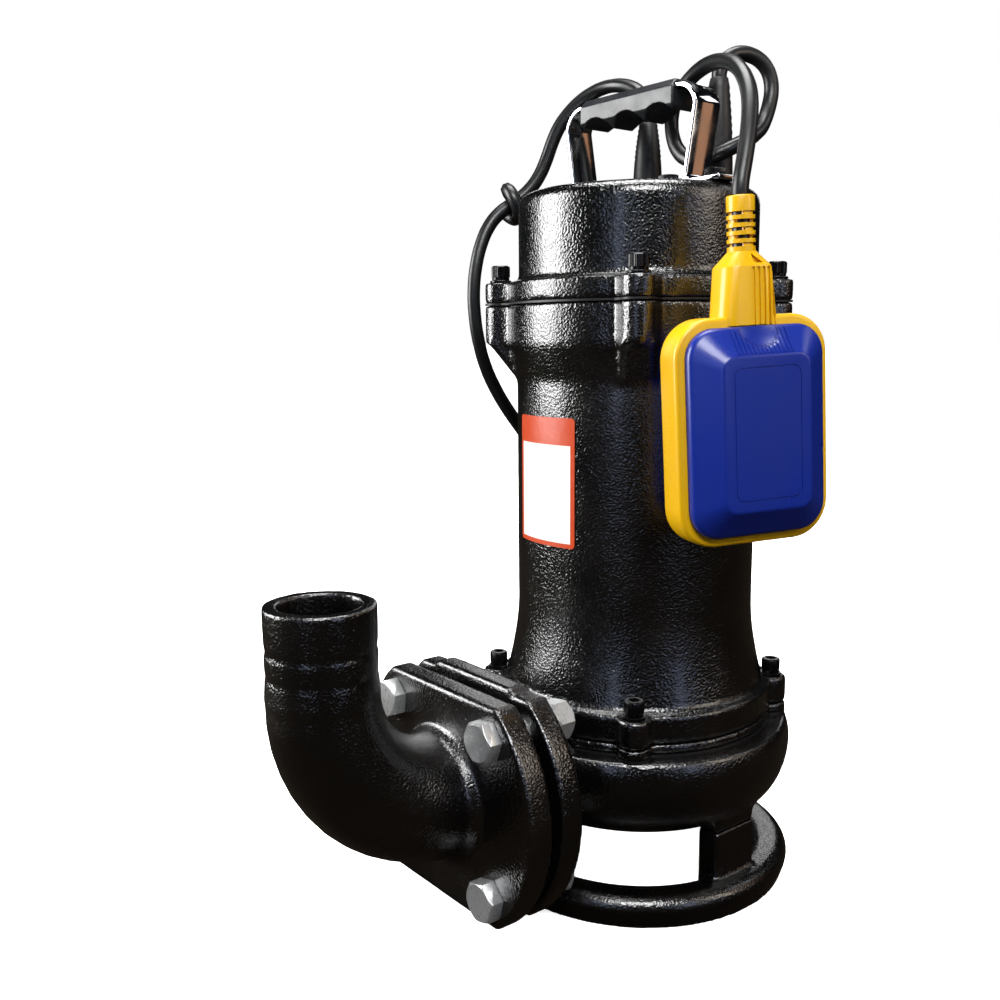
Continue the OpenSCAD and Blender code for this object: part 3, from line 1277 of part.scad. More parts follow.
base_stand();
stand_screws();
volute_casing();
casing_gasket();
impeller();
impeller_nut();
impeller_key();
seal_plate();
seal_seat();
seal_head();
seal_spring();
oil_seal();
oil_plug();
motor_housing();
shaft();
rotor_core();
rotor_rings();
stator_core();
stator_winding();
thermal_protector();
lower_bearing_outer();
lower_bearing_inner();
lower_bearing_balls();
upper_bearing_outer();
upper_bearing_inner();
upper_bearing_balls();
bearing_bracket();
wave_spring();
top_cover();
cover_gasket();
run_capacitor();
terminal_block();
lower_screws();
upper_screws();
outlet_gasket();
discharge_elbow();
flange_bolts();
flange_nuts();
flange_washers();
handle_strap();
handle_grip();
cover_screws();
lead_boot();
float_boot();
boot_plates();
boot_screws();
blank_sticker();
mains_lead();
mains_lead_coil();
lead_hitch();
coil_tie();
plug_body();
plug_pins();
float_cord();
float_rim();
float_shells();
float_ball();
float_switch();
float_lever();
float_weight();
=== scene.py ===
"""Submersible sump pump with its float switch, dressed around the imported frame.

Lengths in this file are millimetres unless a name says otherwise, and one function turns them to
Blender's metres. The pump stands on z = 0 with its shaft on the z axis and its discharge towards +x.
"""

from __future__ import annotations

import abc
import json
import logging
import math
from collections.abc import Callable, Sequence
from dataclasses import dataclass, field
from enum import Enum
from typing import ClassVar

import bmesh
import bpy
from mathutils import Matrix, Vector


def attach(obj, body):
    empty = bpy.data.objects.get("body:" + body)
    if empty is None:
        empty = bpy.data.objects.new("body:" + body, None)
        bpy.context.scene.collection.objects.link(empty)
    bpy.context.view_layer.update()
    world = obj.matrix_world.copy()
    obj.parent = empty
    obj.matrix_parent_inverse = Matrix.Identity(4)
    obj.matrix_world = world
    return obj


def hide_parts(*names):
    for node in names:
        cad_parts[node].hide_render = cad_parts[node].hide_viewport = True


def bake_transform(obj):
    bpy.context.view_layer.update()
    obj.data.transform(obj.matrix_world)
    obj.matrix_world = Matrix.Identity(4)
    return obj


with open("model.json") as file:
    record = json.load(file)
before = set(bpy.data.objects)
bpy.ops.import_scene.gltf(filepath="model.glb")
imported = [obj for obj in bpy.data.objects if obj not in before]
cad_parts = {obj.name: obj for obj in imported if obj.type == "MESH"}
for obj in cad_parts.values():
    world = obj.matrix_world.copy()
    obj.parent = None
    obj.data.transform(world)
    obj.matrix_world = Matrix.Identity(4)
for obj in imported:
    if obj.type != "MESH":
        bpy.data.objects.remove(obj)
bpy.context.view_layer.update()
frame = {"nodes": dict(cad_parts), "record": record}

LOG = logging.getLogger("sump_pump")
MM = 0.001

Triple = tuple[float, float, float]
Pair = tuple[float, float]
Socket = bpy.types.NodeSocket


def metres(*values: float) -> Vector:
    """Turns millimetres into a vector in metres."""
    return Vector(values) * MM


def rgba(hex_colour: str) -> tuple[float, float, float, float]:
    """Turns an sRGB hex colour into linear light.

    Args:
        hex_colour: Six hex digits after a hash sign.

    Returns:
        Linear red, green, blue and an alpha of one.
    """

    def linear(channel: float) -> float:
        """Linear value of one sRGB channel."""
        return channel / 12.92 if channel <= 0.04045 else ((channel + 0.055) / 1.055) ** 2.4

    red, green, blue = (linear(int(hex_colour[i : i + 2], 16) / 255) for i in (1, 3, 5))
    return (red, green, blue, 1.0)


def polar(radius: float, degrees: float) -> Pair:
    """Point on a circle round the origin."""
    return (radius * math.cos(math.radians(degrees)), radius * math.sin(math.radians(degrees)))


def arc(centre: Pair, radius: float, start: float, end: float, steps: int) -> list[Pair]:
    """Points of an arc.

    Args:
        centre: Centre of the arc.
        radius: Its radius.
        start: First angle in degrees.
        end: Last angle in degrees.
        steps: Number of chords.

    Returns:
        One more point than there are steps.
    """
    points = []
    for i in range(steps + 1):
        x, y = polar(radius, start + (end - start) * i / steps)
        points.append((centre[0] + x, centre[1] + y))
    return points


def deselect() -> None:
    """Leaves edit mode and deselects every object."""
    if bpy.context.object is not None and bpy.context.object.mode != "OBJECT":
        bpy.ops.object.mode_set(mode="OBJECT")
    bpy.ops.object.select_all(action="DESELECT")


def choose(obj: bpy.types.Object) -> None:
    """Makes one object the only selected and active one."""
    deselect()
    obj.hide_set(False)
    obj.select_set(True)
    bpy.context.view_layer.objects.active = obj


def add_object(name: str, data: bpy.types.ID) -> bpy.types.Object:
    """Creates an object for its data and links it to the scene."""
    obj = bpy.data.objects.new(name, data)
    bpy.context.scene.collection.objects.link(obj)
    return obj


# ---------------------------------------------------------------------------------------------
# Finishes
# ---------------------------------------------------------------------------------------------


def add_node(
    tree: bpy.types.NodeTree, kind: str, settings: dict[str, object], links: dict[str, Socket]
) -> bpy.types.Node:
    """Adds one shader node.

    Args:
        tree: Node tree that gets the node.
        kind: Blender's name of the node's type.
        settings: Values by the name of a property or of an input.
        links: Sockets to join, by the name of the input.

    Returns:
        The new node.
    """
    node = tree.nodes.new(kind)
    for name, value in settings.items():
        if name.isdigit():
            node.inputs[int(name)].default_value = value
        elif name in node.inputs:
            node.inputs[name].default_value = value
        else:
            setattr(node, name, value)
    for name, socket in links.items():
        tree.links.new(socket, node.inputs[int(name)] if name.isdigit() else node.inputs[name])
    return node


@dataclass(frozen=True)
class Palette:
    """A material's node tree, its shader and the coordinates that its textures lie in."""

    tree: bpy.types.NodeTree
    shader: bpy.types.Node
    place: Socket

    def noise(
        self, size: float, detail: float = 2.0, rough: float = 0.5, place: Socket | None = None
    ) -> Socket:
        """Grey noise whose features are a number of millimetres apart.

        Args:
            size: Spacing of the features in millimetres.
            detail: Octaves of finer noise.
            rough: Share of the finer octaves.
            place: Coordinates in metres, if they aren't the palette's own.

        Returns:
            The noise's grey socket.
        """
        settings = {"Scale": 1.0 / (size * MM), "Detail": detail, "Roughness": rough}
        links = {"Vector": self.place if place is None else place}
        return add_node(self.tree, "ShaderNodeTexNoise", settings, links).outputs["Fac"]

    def waves(self, size: float, distortion: float, detail: float = 2.0, direction: str = "Z") -> Socket:
        """Grey bands across one direction, for rings, sheets and wires.

        Args:
            size: Scale of the bands in millimetres.
            distortion: How much noise bends them.
            detail: Octaves of that noise.
            direction: Direction that the bands follow each other in.

        Returns:
            The bands' grey socket.
        """
        settings = {
            "bands_direction": direction,
            "Scale": 1.0 / (size * MM),
            "Distortion": distortion,
            "Detail": detail,
        }
        return add_node(self.tree, "ShaderNodeTexWave", settings, {"Vector": self.place}).outputs["Fac"]

    def spread(self, value: Socket, source: Pair, target: Pair) -> Socket:
        """Maps a grey value from one range to another and clamps it."""
        settings = {"1": source[0], "2": source[1], "3": target[0], "4": target[1]}
        return add_node(self.tree, "ShaderNodeMapRange", settings, {"Value": value}).outputs["Result"]

    def blend(self, share: Socket, first: str, second: str) -> Socket:
        """Colour between two sRGB colours, by a grey share."""
        settings = {"data_type": "RGBA", "6": rgba(first), "7": rgba(second)}
        return add_node(self.tree, "ShaderNodeMix", settings, {"Factor": share}).outputs[2]

    def combine(self, operation: str, first: Socket, second: Socket | float) -> Socket:
        """Result of one operation on a socket and on a second socket or a number."""
        settings: dict[str, object] = {"operation": operation}
        links = {"0": first}
        (links if isinstance(second, Socket) else settings)["1"] = second
        return add_node(self.tree, "ShaderNodeMath", settings, links).outputs["Value"]

    def use(self, **inputs: object) -> None:
        """Sets inputs of the shader, with underscores for spaces, to values or links them to sockets."""
        for name, value in inputs.items():
            socket = self.shader.inputs[name.replace("_", " ")]
            if isinstance(value, Socket):
                self.tree.links.new(value, socket)
            else:
                socket.default_value = value

    def bump(self, *layers: tuple[Socket, float]) -> None:
        """Chains bumps of heights in millimetres into the shader's normal."""
        links: dict[str, Socket] = {}
        for height, depth in layers:
            links["Height"] = height
            settings = {"Strength": 1.0, "Distance": depth * MM}
            links = {"Normal": add_node(self.tree, "ShaderNodeBump", settings, links).outputs["Normal"]}
        self.use(Normal=links["Normal"])


@dataclass(frozen=True)
class Finish(abc.ABC):
    """A surface finish, which is one node material and one material slot of the record."""

    slot: str

    made: ClassVar[dict[str, bpy.types.Material]] = {}

    def material(self) -> bpy.types.Material:
        """Returns the finish's material, which is built once."""
        if self.slot not in self.made:
            material = bpy.data.materials.new(self.slot)
            material.use_nodes = True
            tree = material.node_tree
            tree.nodes.clear()
            shader = add_node(tree, "ShaderNodeBsdfPrincipled", {}, {})
            add_node(tree, "ShaderNodeOutputMaterial", {}, {"Surface": shader.outputs["BSDF"]})
            place = add_node(tree, "ShaderNodeTexCoord", {}, {})
            self.paint(Palette(tree, shader, place.outputs["Object"]))
            self.made[self.slot] = material
        return self.made[self.slot]

    @abc.abstractmethod
    def paint(self, box: Palette) -> None:
        """Adds the finish's nodes to its shader."""


@dataclass(frozen=True)
class CastEnamel(Finish):
    """Gloss enamel sprayed on sand-cast iron: the sand's grain breaks its highlights into fine
    sparkles, and a thin brown film of dust dulls it in patches."""

    colour: str = "#030303"
    dusty: str = "#080604"
    grain: float = 1.15
    peel: float = 4.0
    gloss: float = 0.9

    def paint(self, box: Palette) -> None:
        """Adds the enamel's nodes."""
        patches = box.noise(38.0, 3.0)
        colour = box.blend(box.spread(patches, (0.42, 0.7), (0.0, 1.0)), self.colour, self.dusty)
        box.use(Base_Color=colour, Roughness=box.spread(patches, (0.3, 0.75), (0.17, 0.29)))
        box.use(IOR=1.5, Specular_IOR_Level=self.gloss, Coat_Weight=0.35, Coat_Roughness=0.16)
        box.bump((box.noise(self.peel), 0.08), (box.noise(self.grain, 1.0, 0.4), 0.36))


@dataclass(frozen=True)
class Metal(Finish):
    """Bare or plated metal with a faint mottle and fine tool marks."""

    colour: str = "#b9bcc0"
    shade: str = "#9fa3a8"
    rough: Pair = (0.2, 0.34)
    mottle: float = 3.0
    marks: float = 0.02
    metallic: float = 1.0

    def paint(self, box: Palette) -> None:
        """Adds the metal's nodes."""
        mottle = box.noise(self.mottle, 4.0, 0.6)
        box.use(Metallic=self.metallic, Base_Color=box.blend(mottle, self.colour, self.shade))
        box.use(Roughness=box.spread(mottle, (0.3, 0.7), self.rough))
        box.bump((mottle, self.marks), (box.noise(0.5), self.marks * 0.5))


@dataclass(frozen=True)
class PolishedSteel(Finish):
    """Polished stainless strip: long fine scratches run along it from the rolling."""

    colour: str = "#d4d6d9"

    def paint(self, box: Palette) -> None:
        """Adds the strip's nodes."""
        along = add_node(box.tree, "ShaderNodeMapping", {"Scale": (1.0, 0.03, 0.03)}, {"Vector": box.place})
        scratches = box.noise(0.35, place=along.outputs["Vector"])
        smears = box.noise(14.0)
        box.use(Metallic=1.0, Base_Color=rgba(self.colour))
        box.use(Roughness=box.spread(smears, (0.35, 0.7), (0.05, 0.16)))
        box.bump((scratches, 0.006), (smears, 0.05))


@dataclass(frozen=True)
class Moulding(Finish):
    """Moulded plastic or rubber, with the mould's fine spark grain."""

    colour: str = "#1b1b1d"
    shade: str = "#232326"
    rough: Pair = (0.38, 0.5)
    grain: float = 0.7
    depth: float = 0.02
    cloud: float = 12.0
    ior: float = 1.5
    soft: float = 0.0

    def paint(self, box: Palette) -> None:
        """Adds the moulding's nodes."""
        cloud = box.noise(self.cloud, 3.0)
        box.use(IOR=self.ior, Base_Color=box.blend(cloud, self.colour, self.shade))
        box.use(Roughness=box.spread(cloud, (0.3, 0.7), self.rough))
        box.use(Subsurface_Weight=self.soft, Subsurface_Scale=0.6 * MM, Subsurface_Radius=(1.0, 0.8, 0.5))
        box.bump((box.noise(self.grain, 1.0), self.depth), (cloud, self.depth * 2.0))


@dataclass(frozen=True)
class BareIron(Finish):
    """Bare sand-cast iron, oiled: coarse grain, dark scale and a little brown where it is handled."""

    colour: str = "#2b2a2b"
    rust: str = "#3a2f28"

    def paint(self, box: Palette) -> None:
        """Adds the iron's nodes."""
        scale = box.noise(16.0, 5.0, 0.6)
        colour = box.blend(box.spread(scale, (0.5, 0.75), (0.0, 1.0)), self.colour, self.rust)
        box.use(Metallic=0.65, Base_Color=colour, Roughness=box.spread(scale, (0.3, 0.7), (0.38, 0.62)))
        box.bump((scale, 0.4), (box.noise(1.4, 3.0, 0.6), 0.16))


@dataclass(frozen=True)
class TurnedSteel(Finish):
    """Turned or ground steel with fine rings round the shaft's axis."""

    colour: str = "#a4a7ab"
    rings: float = 0.8

    def paint(self, box: Palette) -> None:
        """Adds the steel's nodes."""
        bands = box.waves(self.rings * 20, 1.5, 3.0)
        box.use(Metallic=1.0, Base_Color=rgba(self.colour))
        box.use(Roughness=box.spread(bands, (0.0, 1.0), (0.16, 0.3)))
        box.bump((bands, 0.01))


@dataclass(frozen=True)
class Laminations(Finish):
    """Stack of punched electrical sheet, whose edges show as fine lines across the axis."""

    colour: str = "#6f7277"
    dark: str = "#3d3f43"
    sheet: float = 1.0

    def paint(self, box: Palette) -> None:
        """Adds the stack's nodes."""
        bands = box.waves(self.sheet * 20, 0.1)
        box.use(Metallic=0.9, Base_Color=box.blend(bands, self.dark, self.colour))
        box.use(Roughness=box.spread(bands, (0.0, 1.0), (0.5, 0.32)))
        box.bump((bands, 0.12))


@dataclass(frozen=True)
class Windings(Finish):
    """Varnished copper wire laid round the stator, about a millimetre thick."""

    copper: str = "#b4682f"
    varnish: str = "#7a3b17"

    def paint(self, box: Palette) -> None:
        """Adds the winding's nodes."""
        wires = box.waves(22.0, 4.0, direction="DIAGONAL")
        box.use(Metallic=0.85, Coat_Weight=0.5, Base_Color=box.blend(wires, self.varnish, self.copper))
        box.use(Roughness=box.spread(wires, (0.0, 1.0), (0.45, 0.28)))
        box.bump((wires, 0.5))


@dataclass(frozen=True)
class StickerFilm(Finish):
    """Blank vinyl sticker: an orange band and border round a white panel, on the film's own UV."""

    orange: str = "#c2451f"
    white: str = "#eceae4"
    border: Pair = (0.055, 0.035)
    band: float = 0.79

    def paint(self, box: Palette) -> None:
        """Adds the film's nodes."""
        uv = add_node(box.tree, "ShaderNodeUVMap", {"uv_map": "film"}, {})
        across = add_node(box.tree, "ShaderNodeSeparateXYZ", {}, {"Vector": uv.outputs["UV"]})
        inside: Socket | None = None
        tests = (
            ("X", "GREATER_THAN", self.border[0]),
            ("X", "LESS_THAN", 1.0 - self.border[0]),
            ("Y", "GREATER_THAN", self.border[1]),
            ("Y", "LESS_THAN", self.band),
        )
        for axis, test, limit in tests:
            step = box.combine(test, across.outputs[axis], limit)
            inside = step if inside is None else box.combine("MULTIPLY", inside, step)
        wrinkle = box.noise(9.0)
        box.use(Base_Color=box.blend(inside, self.orange, self.white))
        box.use(Roughness=box.spread(wrinkle, (0.3, 0.7), (0.28, 0.4)))
        box.bump((wrinkle, 0.12), (box.noise(2.4, 1.5, 0.45), 0.05))


FINISHES: dict[str, Finish] = {
    finish.slot: finish
    for finish in (
        CastEnamel("cast_enamel"),
        # Bright zinc on steel: pale grey with a faint blue cast and a fine spangle.
        Metal("zinc_steel", "#d9dad8", "#b9bcbe", (0.24, 0.38), 2.5, 0.02, 0.7),
        # Oiled black oxide on steel screws: dark and half glossy.
        Metal("black_steel", "#0d0d0e", "#070708", (0.16, 0.3), 3.0, 0.03, 0.5),
        PolishedSteel("polished_strap"),
        # Satin black polypropylene grip with a spark-eroded grain.
        Moulding("grip_moulding", "#15171a", "#1c1f22", (0.3, 0.42), 0.9, 0.07),
        # Matt vulcanised rubber.
        Moulding("boot_rubber", "#08080a", "#0d0d0e", (0.4, 0.54), 1.0, 0.03),
        # Soft black rubber sheath: smooth from its die, with a dull sheen.
        Moulding("cable_jacket", "#0c0d0e", "#111213", (0.3, 0.42), 1.2, 0.015, 30.0),
        Moulding("tie_strap", "#202023", "#29292c", (0.55, 0.7), 0.8, 0.06),
        BareIron("grey_iron"),
        TurnedSteel("bearing_steel"),
        # Sintered ceramic: pale, dense and lapped.
        Moulding("seal_ceramic", "#e6e0d2", "#dcd5c4", (0.14, 0.2), 0.8, 0.004, 8.0, 1.7),
        # Carbon graphite: black with a soft metallic gloss.
        Metal("seal_carbon", "#26272a", "#1b1c1e", (0.3, 0.42), 1.6, 0.02, 0.4),
        Laminations("core_steel"),
        # Die-cast aluminium rings of the rotor.
        Metal("rotor_aluminium", "#c9ccd0", "#b3b6bb", (0.34, 0.5), 2.0, 0.06),
        Windings("copper_winding"),
        Moulding("white_moulding", "#dedcd5", "#d2cfc6", (0.32, 0.42), 1.0, 0.02),
        StickerFilm("sticker_film"),
        # Glossy polypropylene of the float, yellow rim and blue shells.
        Moulding("float_yellow", "#e6b30b", "#dba60a", (0.26, 0.36), 1.1, 0.01, 18.0, 1.49, 0.06),
        Moulding("float_blue", "#12298a", "#0f257d", (0.26, 0.36), 1.1, 0.01, 22.0, 1.49, 0.03),
        Moulding("switch_moulding", "#303236", "#3a3c41", (0.4, 0.52), 0.9, 0.03),
    )
}


def mount(obj: bpy.types.Object, body: str | None, slot: str, *replaced: str) -> bpy.types.Object:
    """Gives a finished piece its finish and its body, and hides the solids it stands for.

    Args:
        obj: The finished piece.
        body: CAD body that the piece rides on, or None for a piece on no body.
        slot: Material slot of the record.
        *replaced: Names of the CAD nodes that the piece replaces.

    Returns:
        The same piece.
    """
    obj.data.materials.clear()
    obj.data.materials.append(FINISHES[slot].material())
    if body is not None:
        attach(obj, body)
    if replaced:
        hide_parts(*replaced)
    LOG.info("%s on %s, %d vertices", obj.name, body, len(getattr(obj.data, "vertices", ())))
    return obj


# ---------------------------------------------------------------------------------------------
# Modelling
# ---------------------------------------------------------------------------------------------


class Shading(Enum):
    """How a finished mesh is shaded."""

    SMOOTH = "smooth"
    BY_ANGLE = "by angle"


class Bench:
    """One mesh that is being modelled with the edit operators."""

    def __init__(self, obj: bpy.types.Object) -> None:
        """Takes an object whose mesh is in place."""
        self.obj = obj

    @classmethod
    def primitive(cls, name: str, add: Callable[..., object], **settings: object) -> Bench:
        """Starts from one of Blender's primitive meshes."""
        deselect()
        add(**settings)
        bench = cls(bpy.context.object)
        bench.obj.name = bench.obj.data.name = name
        return bench

    @classmethod
    def point(cls, name: str, at: Triple) -> Bench:
        """Starts a mesh of one vertex, ready to be extruded."""
        bench = cls.primitive(name, bpy.ops.mesh.primitive_plane_add, size=MM).edit()
        bpy.ops.mesh.merge(type="CENTER")
        bpy.ops.transform.translate(value=metres(*at))
        return bench

    @classmethod
    def line(cls, name: str, points: Sequence[Triple]) -> Bench:
        """Starts a mesh of a chain of edges through the points."""
        bench = cls.point(name, points[0])
        for first, second in zip(points, points[1:]):
            step = metres(*second) - metres(*first)
            bpy.ops.mesh.extrude_vertices_move(TRANSFORM_OT_translate={"value": step})
        bpy.ops.mesh.select_all(action="SELECT")
        return bench

    @classmethod
    def outline(cls, name: str, points: Sequence[Triple]) -> Bench:
        """Starts a mesh of one flat face with the points as its corners."""
        bench = cls.line(name, points)
        bpy.ops.mesh.edge_face_add()
        return bench

    @classmethod
    def prism(cls, name: str, points: Sequence[Triple], **way: float) -> Bench:
        """Starts a closed prism: a flat face and the way that it is extruded."""
        return cls.outline(name, points).push(**way).outward()

    @classmethod
    def lathe(cls, name: str, profile: Sequence[Pair], steps: int = 48) -> Bench:
        """Turns a profile of (radius, height) points about the z axis."""
        bench = cls.line(name, [(radius, 0.0, height) for radius, height in profile])
        return bench.spin(360.0, steps)

    @classmethod
    def cylinder(cls, name: str, radius: float, low: Triple, length: float, sides: int = 32) -> Bench:
        """Starts an upright cylinder from the centre of its lower end."""
        add = bpy.ops.mesh.primitive_cylinder_add
        bench = cls.primitive(name, add, vertices=sides, radius=radius * MM, depth=length * MM)
        return bench.shift(Matrix.Translation(metres(low[0], low[1], low[2] + length / 2)))

    @classmethod
    def block(cls, name: str, low: Triple, high: Triple) -> Bench:
        """Starts a box between two corners."""
        bench = cls.primitive(name, bpy.ops.mesh.primitive_cube_add, size=MM)
        size = [b - a for a, b in zip(low, high)]
        middle = metres(*[(a + b) / 2 for a, b in zip(low, high)])
        return bench.shift(Matrix.Translation(middle) @ Matrix.Diagonal((*size, 1.0)))

    @classmethod
    def of_node(cls, name: str, node: str) -> Bench:
        """Starts from a merged copy of a CAD node's mesh."""
        obj = add_object(name, frame["nodes"][node].data.copy())
        obj.data.name = name
        return cls(obj).edit().weld()

    def edit(self) -> Bench:
        """Goes to edit mode with everything selected."""
        choose(self.obj)
        bpy.ops.object.mode_set(mode="EDIT")
        bpy.ops.mesh.select_mode(type="VERT")
        bpy.ops.mesh.select_all(action="SELECT")
        return self

    def weld(self) -> Bench:
        """Merges the vertices that lie on each other."""
        bpy.ops.mesh.select_all(action="SELECT")
        bpy.ops.mesh.remove_doubles(threshold=1e-6)
        return self

    def rest(self) -> Bench:
        """Goes back to object mode."""
        choose(self.obj)
        return self

    def shift(self, matrix: Matrix) -> Bench:
        """Moves the mesh by a matrix and leaves the object at the origin."""
        self.rest()
        self.obj.data.transform(matrix)
        if matrix.determinant() < 0:
            self.obj.data.flip_normals()
        return self

    def pick(self, test: Callable[[Vector, Vector], bool]) -> Bench:
        """Selects the faces for which a test of centre in millimetres and normal holds."""
        bpy.ops.mesh.select_mode(type="FACE")
        bpy.ops.mesh.select_all(action="DESELECT")
        mesh = bmesh.from_edit_mesh(self.obj.data)
        for face in mesh.faces:
            face.select_set(test(face.calc_center_median() / MM, face.normal))
        bmesh.update_edit_mesh(self.obj.data)
        return self

    def push(self, x: float = 0.0, y: float = 0.0, z: float = 0.0) -> Bench:
        """Extrudes what is selected."""
        bpy.ops.mesh.extrude_region_move(TRANSFORM_OT_translate={"value": metres(x, y, z)})
        return self

    def spin(self, degrees: float, steps: int) -> Bench:
        """Spins what is selected about the z axis and closes the result."""
        bpy.ops.mesh.spin(steps=steps, angle=math.radians(degrees), center=(0, 0, 0), axis=(0, 0, 1))
        return self.weld().outward()

    def outward(self) -> Bench:
        """Turns all faces outwards."""
        bpy.ops.mesh.select_all(action="SELECT")
        bpy.ops.mesh.normals_make_consistent(inside=False)
        return self

    def cut(self, at: Triple, normal: Triple) -> Bench:
        """Cuts off what lies on the normal's side of a plane and closes the cut."""
        bpy.ops.mesh.select_all(action="SELECT")
        bpy.ops.mesh.bisect(plane_co=metres(*at), plane_no=normal, use_fill=True, clear_outer=True)
        return self

    def modify(self, kind: str, **settings: object) -> Bench:
        """Adds one modifier with its settings and applies it."""
        self.rest()
        modifier = self.obj.modifiers.new(kind.lower(), kind)
        for name, value in settings.items():
            setattr(modifier, name, value)
        bpy.ops.object.modifier_apply(modifier=modifier.name)
        return self

    def recast(self, voxel: float, smooth: int) -> Bench:
        """Makes the mesh anew from small voxels and softens it, like something cast or moulded."""
        self.modify("REMESH", mode="VOXEL", voxel_size=voxel * MM, adaptivity=0.0)
        return self.modify("SMOOTH", factor=0.5, iterations=smooth)

    def carve(self, *tools: Bench, operation: str = "DIFFERENCE") -> Bench:
        """Cuts, joins or crosses the mesh with other meshes, which are used up."""
        for tool in tools:
            tool.rest()
            self.modify("BOOLEAN", object=tool.obj, operation=operation, solver="EXACT")
            bpy.data.objects.remove(tool.obj)
        return self

    def round_edges(self, width: float, segments: int = 3, degrees: float = 35.0) -> Bench:
        """Rounds the edges that are sharper than an angle."""
        limit = math.radians(degrees)
        return self.modify(
            "BEVEL", width=width * MM, segments=segments, limit_method="ANGLE", angle_limit=limit
        )

    def twin(self, matrix: Matrix) -> Bench:
        """Returns a moved copy with its own mesh."""
        self.rest()
        return Bench(add_object(self.obj.name, self.obj.data.copy())).shift(matrix)

    def repeat(self, name: str, matrices: Sequence[Matrix]) -> Bench:
        """Copies the mesh to each place and joins the copies."""
        copies = [self.twin(matrix) for matrix in matrices]
        bpy.data.objects.remove(self.obj)
        return join(name, copies)

    def shade(self, shading: Shading = Shading.BY_ANGLE, degrees: float = 35.0) -> bpy.types.Object:
        """Shades the mesh and returns its object."""
        self.rest()
        if shading is Shading.SMOOTH:
            bpy.ops.object.shade_smooth()
        else:
            bpy.ops.object.shade_smooth_by_angle(angle=math.radians(degrees))
        return self.obj


def join(name: str, benches: Sequence[Bench]) -> Bench:
    """Joins several meshes into one.

    Args:
        name: Name of the joined piece.
        benches: The meshes, of which the first takes in the rest.

    Returns:
        The joined mesh.
    """
    first = benches[0].rest()
    for bench in benches[1:]:
        bench.obj.select_set(True)
    bpy.ops.object.join()
    first.obj.name = first.obj.data.name = name
    return first


def loft(name: str, rows: Sequence[Sequence[Triple]], closed: bool = True) -> Bench:
    """Skins a stack of outlines that have the same number of points.

    Args:
        name: Name of the piece.
        rows: The outlines from the first to the last.
        closed: Whether the first outline is closed with a face; the last one always is.

    Returns:
        The skinned mesh.
    """
    count = len(rows[0])
    faces = [
        (i * count + k, i * count + (k + 1) % count, (i + 1) * count + (k + 1) % count, (i + 1) * count + k)
        for i in range(len(rows) - 1)
        for k in range(count)
    ]
    faces.append(tuple((len(rows) - 1) * count + k for k in range(count)))
    if closed:
        faces.append(tuple(range(count)))
    mesh = bpy.data.meshes.new(name)
    mesh.from_pydata([metres(*point) for row in rows for point in row], [], faces)
    return Bench(add_object(name, mesh)).edit().outward()


def turned(degrees: float, axis: str = "Z") -> Matrix:
    """Rotation about one axis through the origin."""
    return Matrix.Rotation(math.radians(degrees), 4, axis)


def moved(x: float, y: float, z: float) -> Matrix:
    """Translation by millimetres."""
    return Matrix.Translation(metres(x, y, z))


def round_square(width: float, height: float, radius: float, steps: int = 6) -> list[Pair]:
    """Corners of a rounded rectangle about the origin, counter-clockwise."""
    points: list[Pair] = []
    for sx, sy, start in ((1, 1, 0), (-1, 1, 90), (-1, -1, 180), (1, -1, 270)):
        centre = (sx * (width / 2 - radius), sy * (height / 2 - radius))
        points += arc(centre, radius, start, start + 90, steps)
    return points


# ---------------------------------------------------------------------------------------------
# Studio
# ---------------------------------------------------------------------------------------------


@dataclass(frozen=True)
class Softbox:
    """One soft rectangular light."""

    name: str
    place: Triple
    size: Pair
    power: float
    colour: str = "#ffffff"
    target: Triple = (0.0, 0.0, 0.22)

    def build(self) -> None:
        """Creates the light, which the camera doesn't see."""
        data = bpy.data.lights.new(self.name, "AREA")
        data.shape = "RECTANGLE"
        data.size, data.size_y = self.size
        data.energy = self.power
        data.color = rgba(self.colour)[:3]
        light = add_object(self.name, data)
        light.location = self.place
        light.rotation_euler = (Vector(self.target) - Vector(self.place)).to_track_quat("-Z", "Y").to_euler()
        light.visible_camera = False


